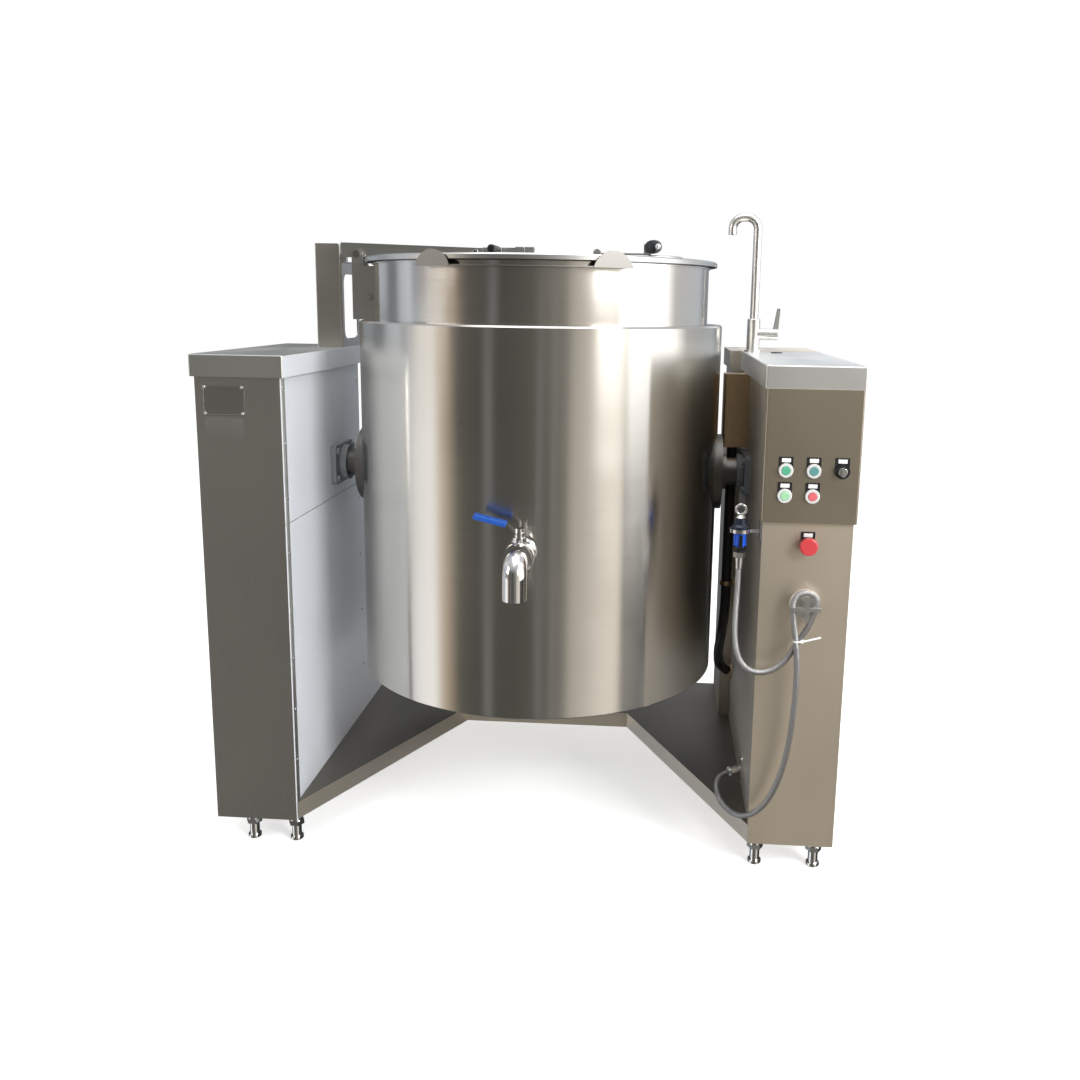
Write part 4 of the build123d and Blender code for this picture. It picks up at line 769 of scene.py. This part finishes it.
def disc(centre, radius, thick, edge, axis="Y"):
    """A disc with its middle at centre, along X, Y or Z, with rounded edges. It stays active."""
    bpy.ops.object.select_all(action="DESELECT")
    turned = {"X": (0, pi / 2, 0), "Y": (pi / 2, 0, 0), "Z": (0, 0, 0)}[axis]
    bpy.ops.mesh.primitive_cylinder_add(vertices=32, radius=radius * MM, depth=thick * MM,
                                        location=Vector(centre) * MM, rotation=turned)
    bpy.ops.object.transform_apply(location=True, rotation=True, scale=True)
    round_edges(edge, steps=3)


print("helpers ready:", [made.__name__ for made in (round_edges, block, disc)])

# %% [markdown]
# What repeats is made once and copied. An array modifier would do for a row, but not for buttons at
# uneven places, so the copies are real ones, joined to one piece. Last, a piece is settled: it gets
# its name, its material and the body that it moves with.
# Its place goes into its mesh, so that its object sits at the origin like those of the solids.


# %% Copying, joining and settling
def join(pieces):
    """Joins pieces into the first of them, which becomes the active piece."""
    bpy.ops.object.select_all(action="DESELECT")
    for piece in pieces:
        piece.select_set(True)
    bpy.context.view_layer.objects.active = pieces[0]
    bpy.ops.object.join()


def add_copies(offsets):
    """Copies the active piece to offsets from it, each copy with its own mesh, and joins them."""
    piece = bpy.context.object
    made = [piece]
    for offset in offsets:
        twin = piece.copy()
        twin.data = piece.data.copy()
        twin.location = piece.location + Vector(offset) * MM
        bpy.context.scene.collection.objects.link(twin)
        made.append(twin)
    join(made)


def settle(name, material, body, slot):
    """Finishes the active piece: its place goes into its mesh, and it rides on a body."""
    piece = bpy.context.object
    bpy.ops.object.transform_apply(location=True, rotation=True, scale=True)
    piece.name = name
    piece.data.name = name
    piece.data.materials.clear()
    piece.data.materials.append(material)
    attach(piece, body)
    print(name, "mm:", [round(side * 1000, 1) for side in piece.dimensions])


print("helpers ready:", [made.__name__ for made in (join, add_copies, settle)])

# %% [markdown]
# The maker's plate is thin aluminium with a rolled frame. The frame could be four bars on a sheet. As
# on the real plate it is one sheet, so its front face is inset twice, the second time a little deeper:
# that sinks the field and leaves the frame standing. The plate is blank. Aluminium is ground like the
# steel, a little darker and much more matt.

# %% The blank plate
front_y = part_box("left_console_shell")[0][1] * 1000
frame_width = 2.2 * MM
field_depth = 0.3 * MM
plate_aluminium = brushed_steel("plate_aluminium", "a2a29e", 0.40, 0.1, grain_along="X")
plate = block((-708, front_y - 0.9, 1035), (-613, front_y, 1103), edge=0.25)
bpy.ops.object.mode_set(mode="EDIT")
bpy.ops.mesh.select_mode(type="FACE")
bpy.ops.mesh.select_all(action="DESELECT")
bpy.ops.object.mode_set(mode="OBJECT")
widest = max(plate.data.polygons, key=lambda face: face.area * (face.normal.y < -0.9))
widest.select = True
bpy.ops.object.mode_set(mode="EDIT")
bpy.ops.mesh.inset(thickness=frame_width, depth=0)
bpy.ops.mesh.inset(thickness=0.4 * MM, depth=-field_depth)
bpy.ops.object.mode_set(mode="OBJECT")
bpy.ops.object.shade_flat()
settle("name_plate", plate_aluminium, "stand", "brushed_steel")

# %% [markdown]
# Four blind rivets hold the plate. Their heads are new aluminium, the brightest spots on that side. A
# dull film label is stuck on below the plate: printed film is a smooth plastic, darker than the steel
# round it. It is blank too.

# %% The rivets and the blank label
bright_rivet = brushed_steel("bright_rivet_aluminium", "f4f4f2", 0.5, 0.0)
rivet_across, rivet_down = 85, -58
disc((-703, front_y - 1.6, 1098), 3.2, 1.8, edge=0.8)
add_copies([(rivet_across, 0, 0), (0, 0, rivet_down), (rivet_across, 0, rivet_down)])
settle("plate_rivets", bright_rivet, "stand", "polished_steel")
silver_film = moulded_plastic("silver_label_film", "5d5b57", 0.42, peel=0.05, peel_size_mm=6.0)
block((-704, front_y - 0.15, 986), (-617, front_y, 1030), edge=0.05)
settle("blank_label", silver_film, "stand", "grey_paint")

# %% [markdown]
# A folded strip closes the front edge of the left inner covers, with a row of pan head screws. At the
# rear the covers are screwed straight to the console. A screw from here is a rounded disc: its slot
# is smaller than a pixel. One is made and copied along its row.

# %% The folded strip and its screws
inner_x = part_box("left_panel_upper")[1][0] * 1000
block((inner_x, front_y + 1, 80), (inner_x + 1.0, front_y + 21, 1119), edge=0.4)
settle("edge_strip", cap_steel, "stand", "brushed_steel")
for name, x, y, pitch, screws in (("strip_screws", inner_x + 1.7, front_y + 12, 125.5, 9),
                                  ("rear_screws", inner_x + 0.7, 168, 163, 7)):
    disc((x, y, 96), 3.0, 1.6, axis="X", edge=0.7)
    add_copies([(0, 0, step * pitch) for step in range(1, screws)])
    settle(name, polished_steel, "stand", "polished_steel")

# %% [markdown]
# Each holder round a push button carries a white legend plate above the button. They are blank. The
# first is a thin block over the first button. The others lie at the offsets of their buttons, and the
# last one is 12 mm further back, since the emergency stop sits below the box.

# %% Blank legends
button_x, button_z, holder_y = 572, 948, -419
block((button_x - 9.5, holder_y - 0.7, button_z + 17.5), (button_x + 9.5, holder_y, button_z + 26), edge=0.2)
add_copies([(59, 0, 0), (119, 0, 0), (0, 0, -55), (59, 0, -55), (57, 12, -165)])
settle("blank_legends", nylon_white, "stand", "white_plastic")

# %% [markdown]
# A white nylon tie holds the two runs of the hose together under the hook: a band with a rounded
# outline, a square head, and a cut tail that sticks out. The band could be a strip bent along a line.
# A torus stretched to an oval and flattened is quicker, and at this size it looks the same.

# %% The cable tie
tie_centre = Vector((615.5, -438, 577))
bpy.ops.object.select_all(action="DESELECT")
bpy.ops.mesh.primitive_torus_add(major_segments=48, minor_segments=10, major_radius=11 * MM,
                                 minor_radius=0.8 * MM, location=tie_centre * MM)
bpy.ops.transform.resize(value=(1.62, 0.86, 2.2))
bpy.ops.transform.rotate(value=radians(-63), orient_axis="Z", center_override=tie_centre * MM)
bpy.ops.object.transform_apply(location=True, rotation=True, scale=True)
tie_band = bpy.context.object
tie_head = block((619, -450, 573.5), (625, -445, 580.5), edge=0.8)
tie_tail = block((624, -449, 575), (664, -447.9, 579), edge=0.3)
bpy.ops.transform.rotate(value=radians(16), orient_axis="Y", center_override=Vector((624, -448, 577)) * MM)
join([tie_band, tie_head, tie_tail])
settle("cable_tie", nylon_white, "stand", "white_plastic")

# %% [markdown]
# Crimped steel ferrules close the hose at both ends and hide the open ends of its tube. They are
# short discs round the hose's line, and the one at the wall is turned to the way the hose comes in.

# %% The ferrules
disc((485, -380, 726), 8.2, 15, axis="Z", edge=1.2)
settle("gun_ferrule", polished_steel, "stand", "polished_steel")
ferrule_centre = fitting_centre * 1000 + fitting_direction * 34
hose_turn = radians(-34.8)
disc(ferrule_centre, 8.2, 18, axis="X", edge=1.2)
bpy.ops.transform.rotate(value=hose_turn, orient_axis="Z", center_override=ferrule_centre * MM)
settle("wall_ferrule", polished_steel, "stand", "polished_steel")

# %% [markdown]
# On the lid: a steel ferrule between the handle's rod and its grip, the bright heads of the pins on
# the arm, and a steel ball at the end of the hatch's grip. Each rides on the body that it is fixed to:
# the hinge's pin stays on the kettle when the lid opens, and the ball goes up with the hatch.

# %% Lid fittings
disc((-105, -50.5, 1415), 10.6, 7, edge=1.5)
settle("handle_ferrule", polished_steel, "lid", "polished_steel")
disc((-165, -19.2, 1413), 6.5, 2.4, edge=0.8)
settle("arm_pin_head", polished_steel, "lid", "polished_steel")
disc((-462, -28.6, 1404), 8.5, 2.6, edge=0.9)
settle("hinge_pin_head", polished_steel, "kettle", "polished_steel")
bpy.ops.object.select_all(action="DESELECT")
bpy.ops.mesh.primitive_uv_sphere_add(segments=32, ring_count=16, radius=8 * MM,
                                     location=Vector((286.5, -123.5, 1425)) * MM)
bpy.ops.transform.resize(value=(1, 1.15, 0.9))  # a pressed ball is never quite round
bpy.ops.object.shade_smooth()
settle("hatch_grip_ball", polished_steel, "hatch", "polished_steel")

# %% [markdown]
# The right cap has a black rubber plug over a spare hole, and a small turned steel knob at its outer
# side. Both are plain discs with well rounded edges. They are placed from the cap's own box, so that
# they stay on it.

# %% Cap fittings
cap_high = Vector(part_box("right_console_cap")[1]) * 1000
disc((606, 150, cap_high.z + 1.2), 15, 2.4, axis="Z", edge=1.0)
settle("cap_plug", black_rubber, "stand", "black_rubber")
disc((cap_high.x + 4.5, -75, cap_high.z - 14), 7, 9, axis="X", edge=1.6)
settle("cap_knob", polished_steel, "stand", "polished_steel")
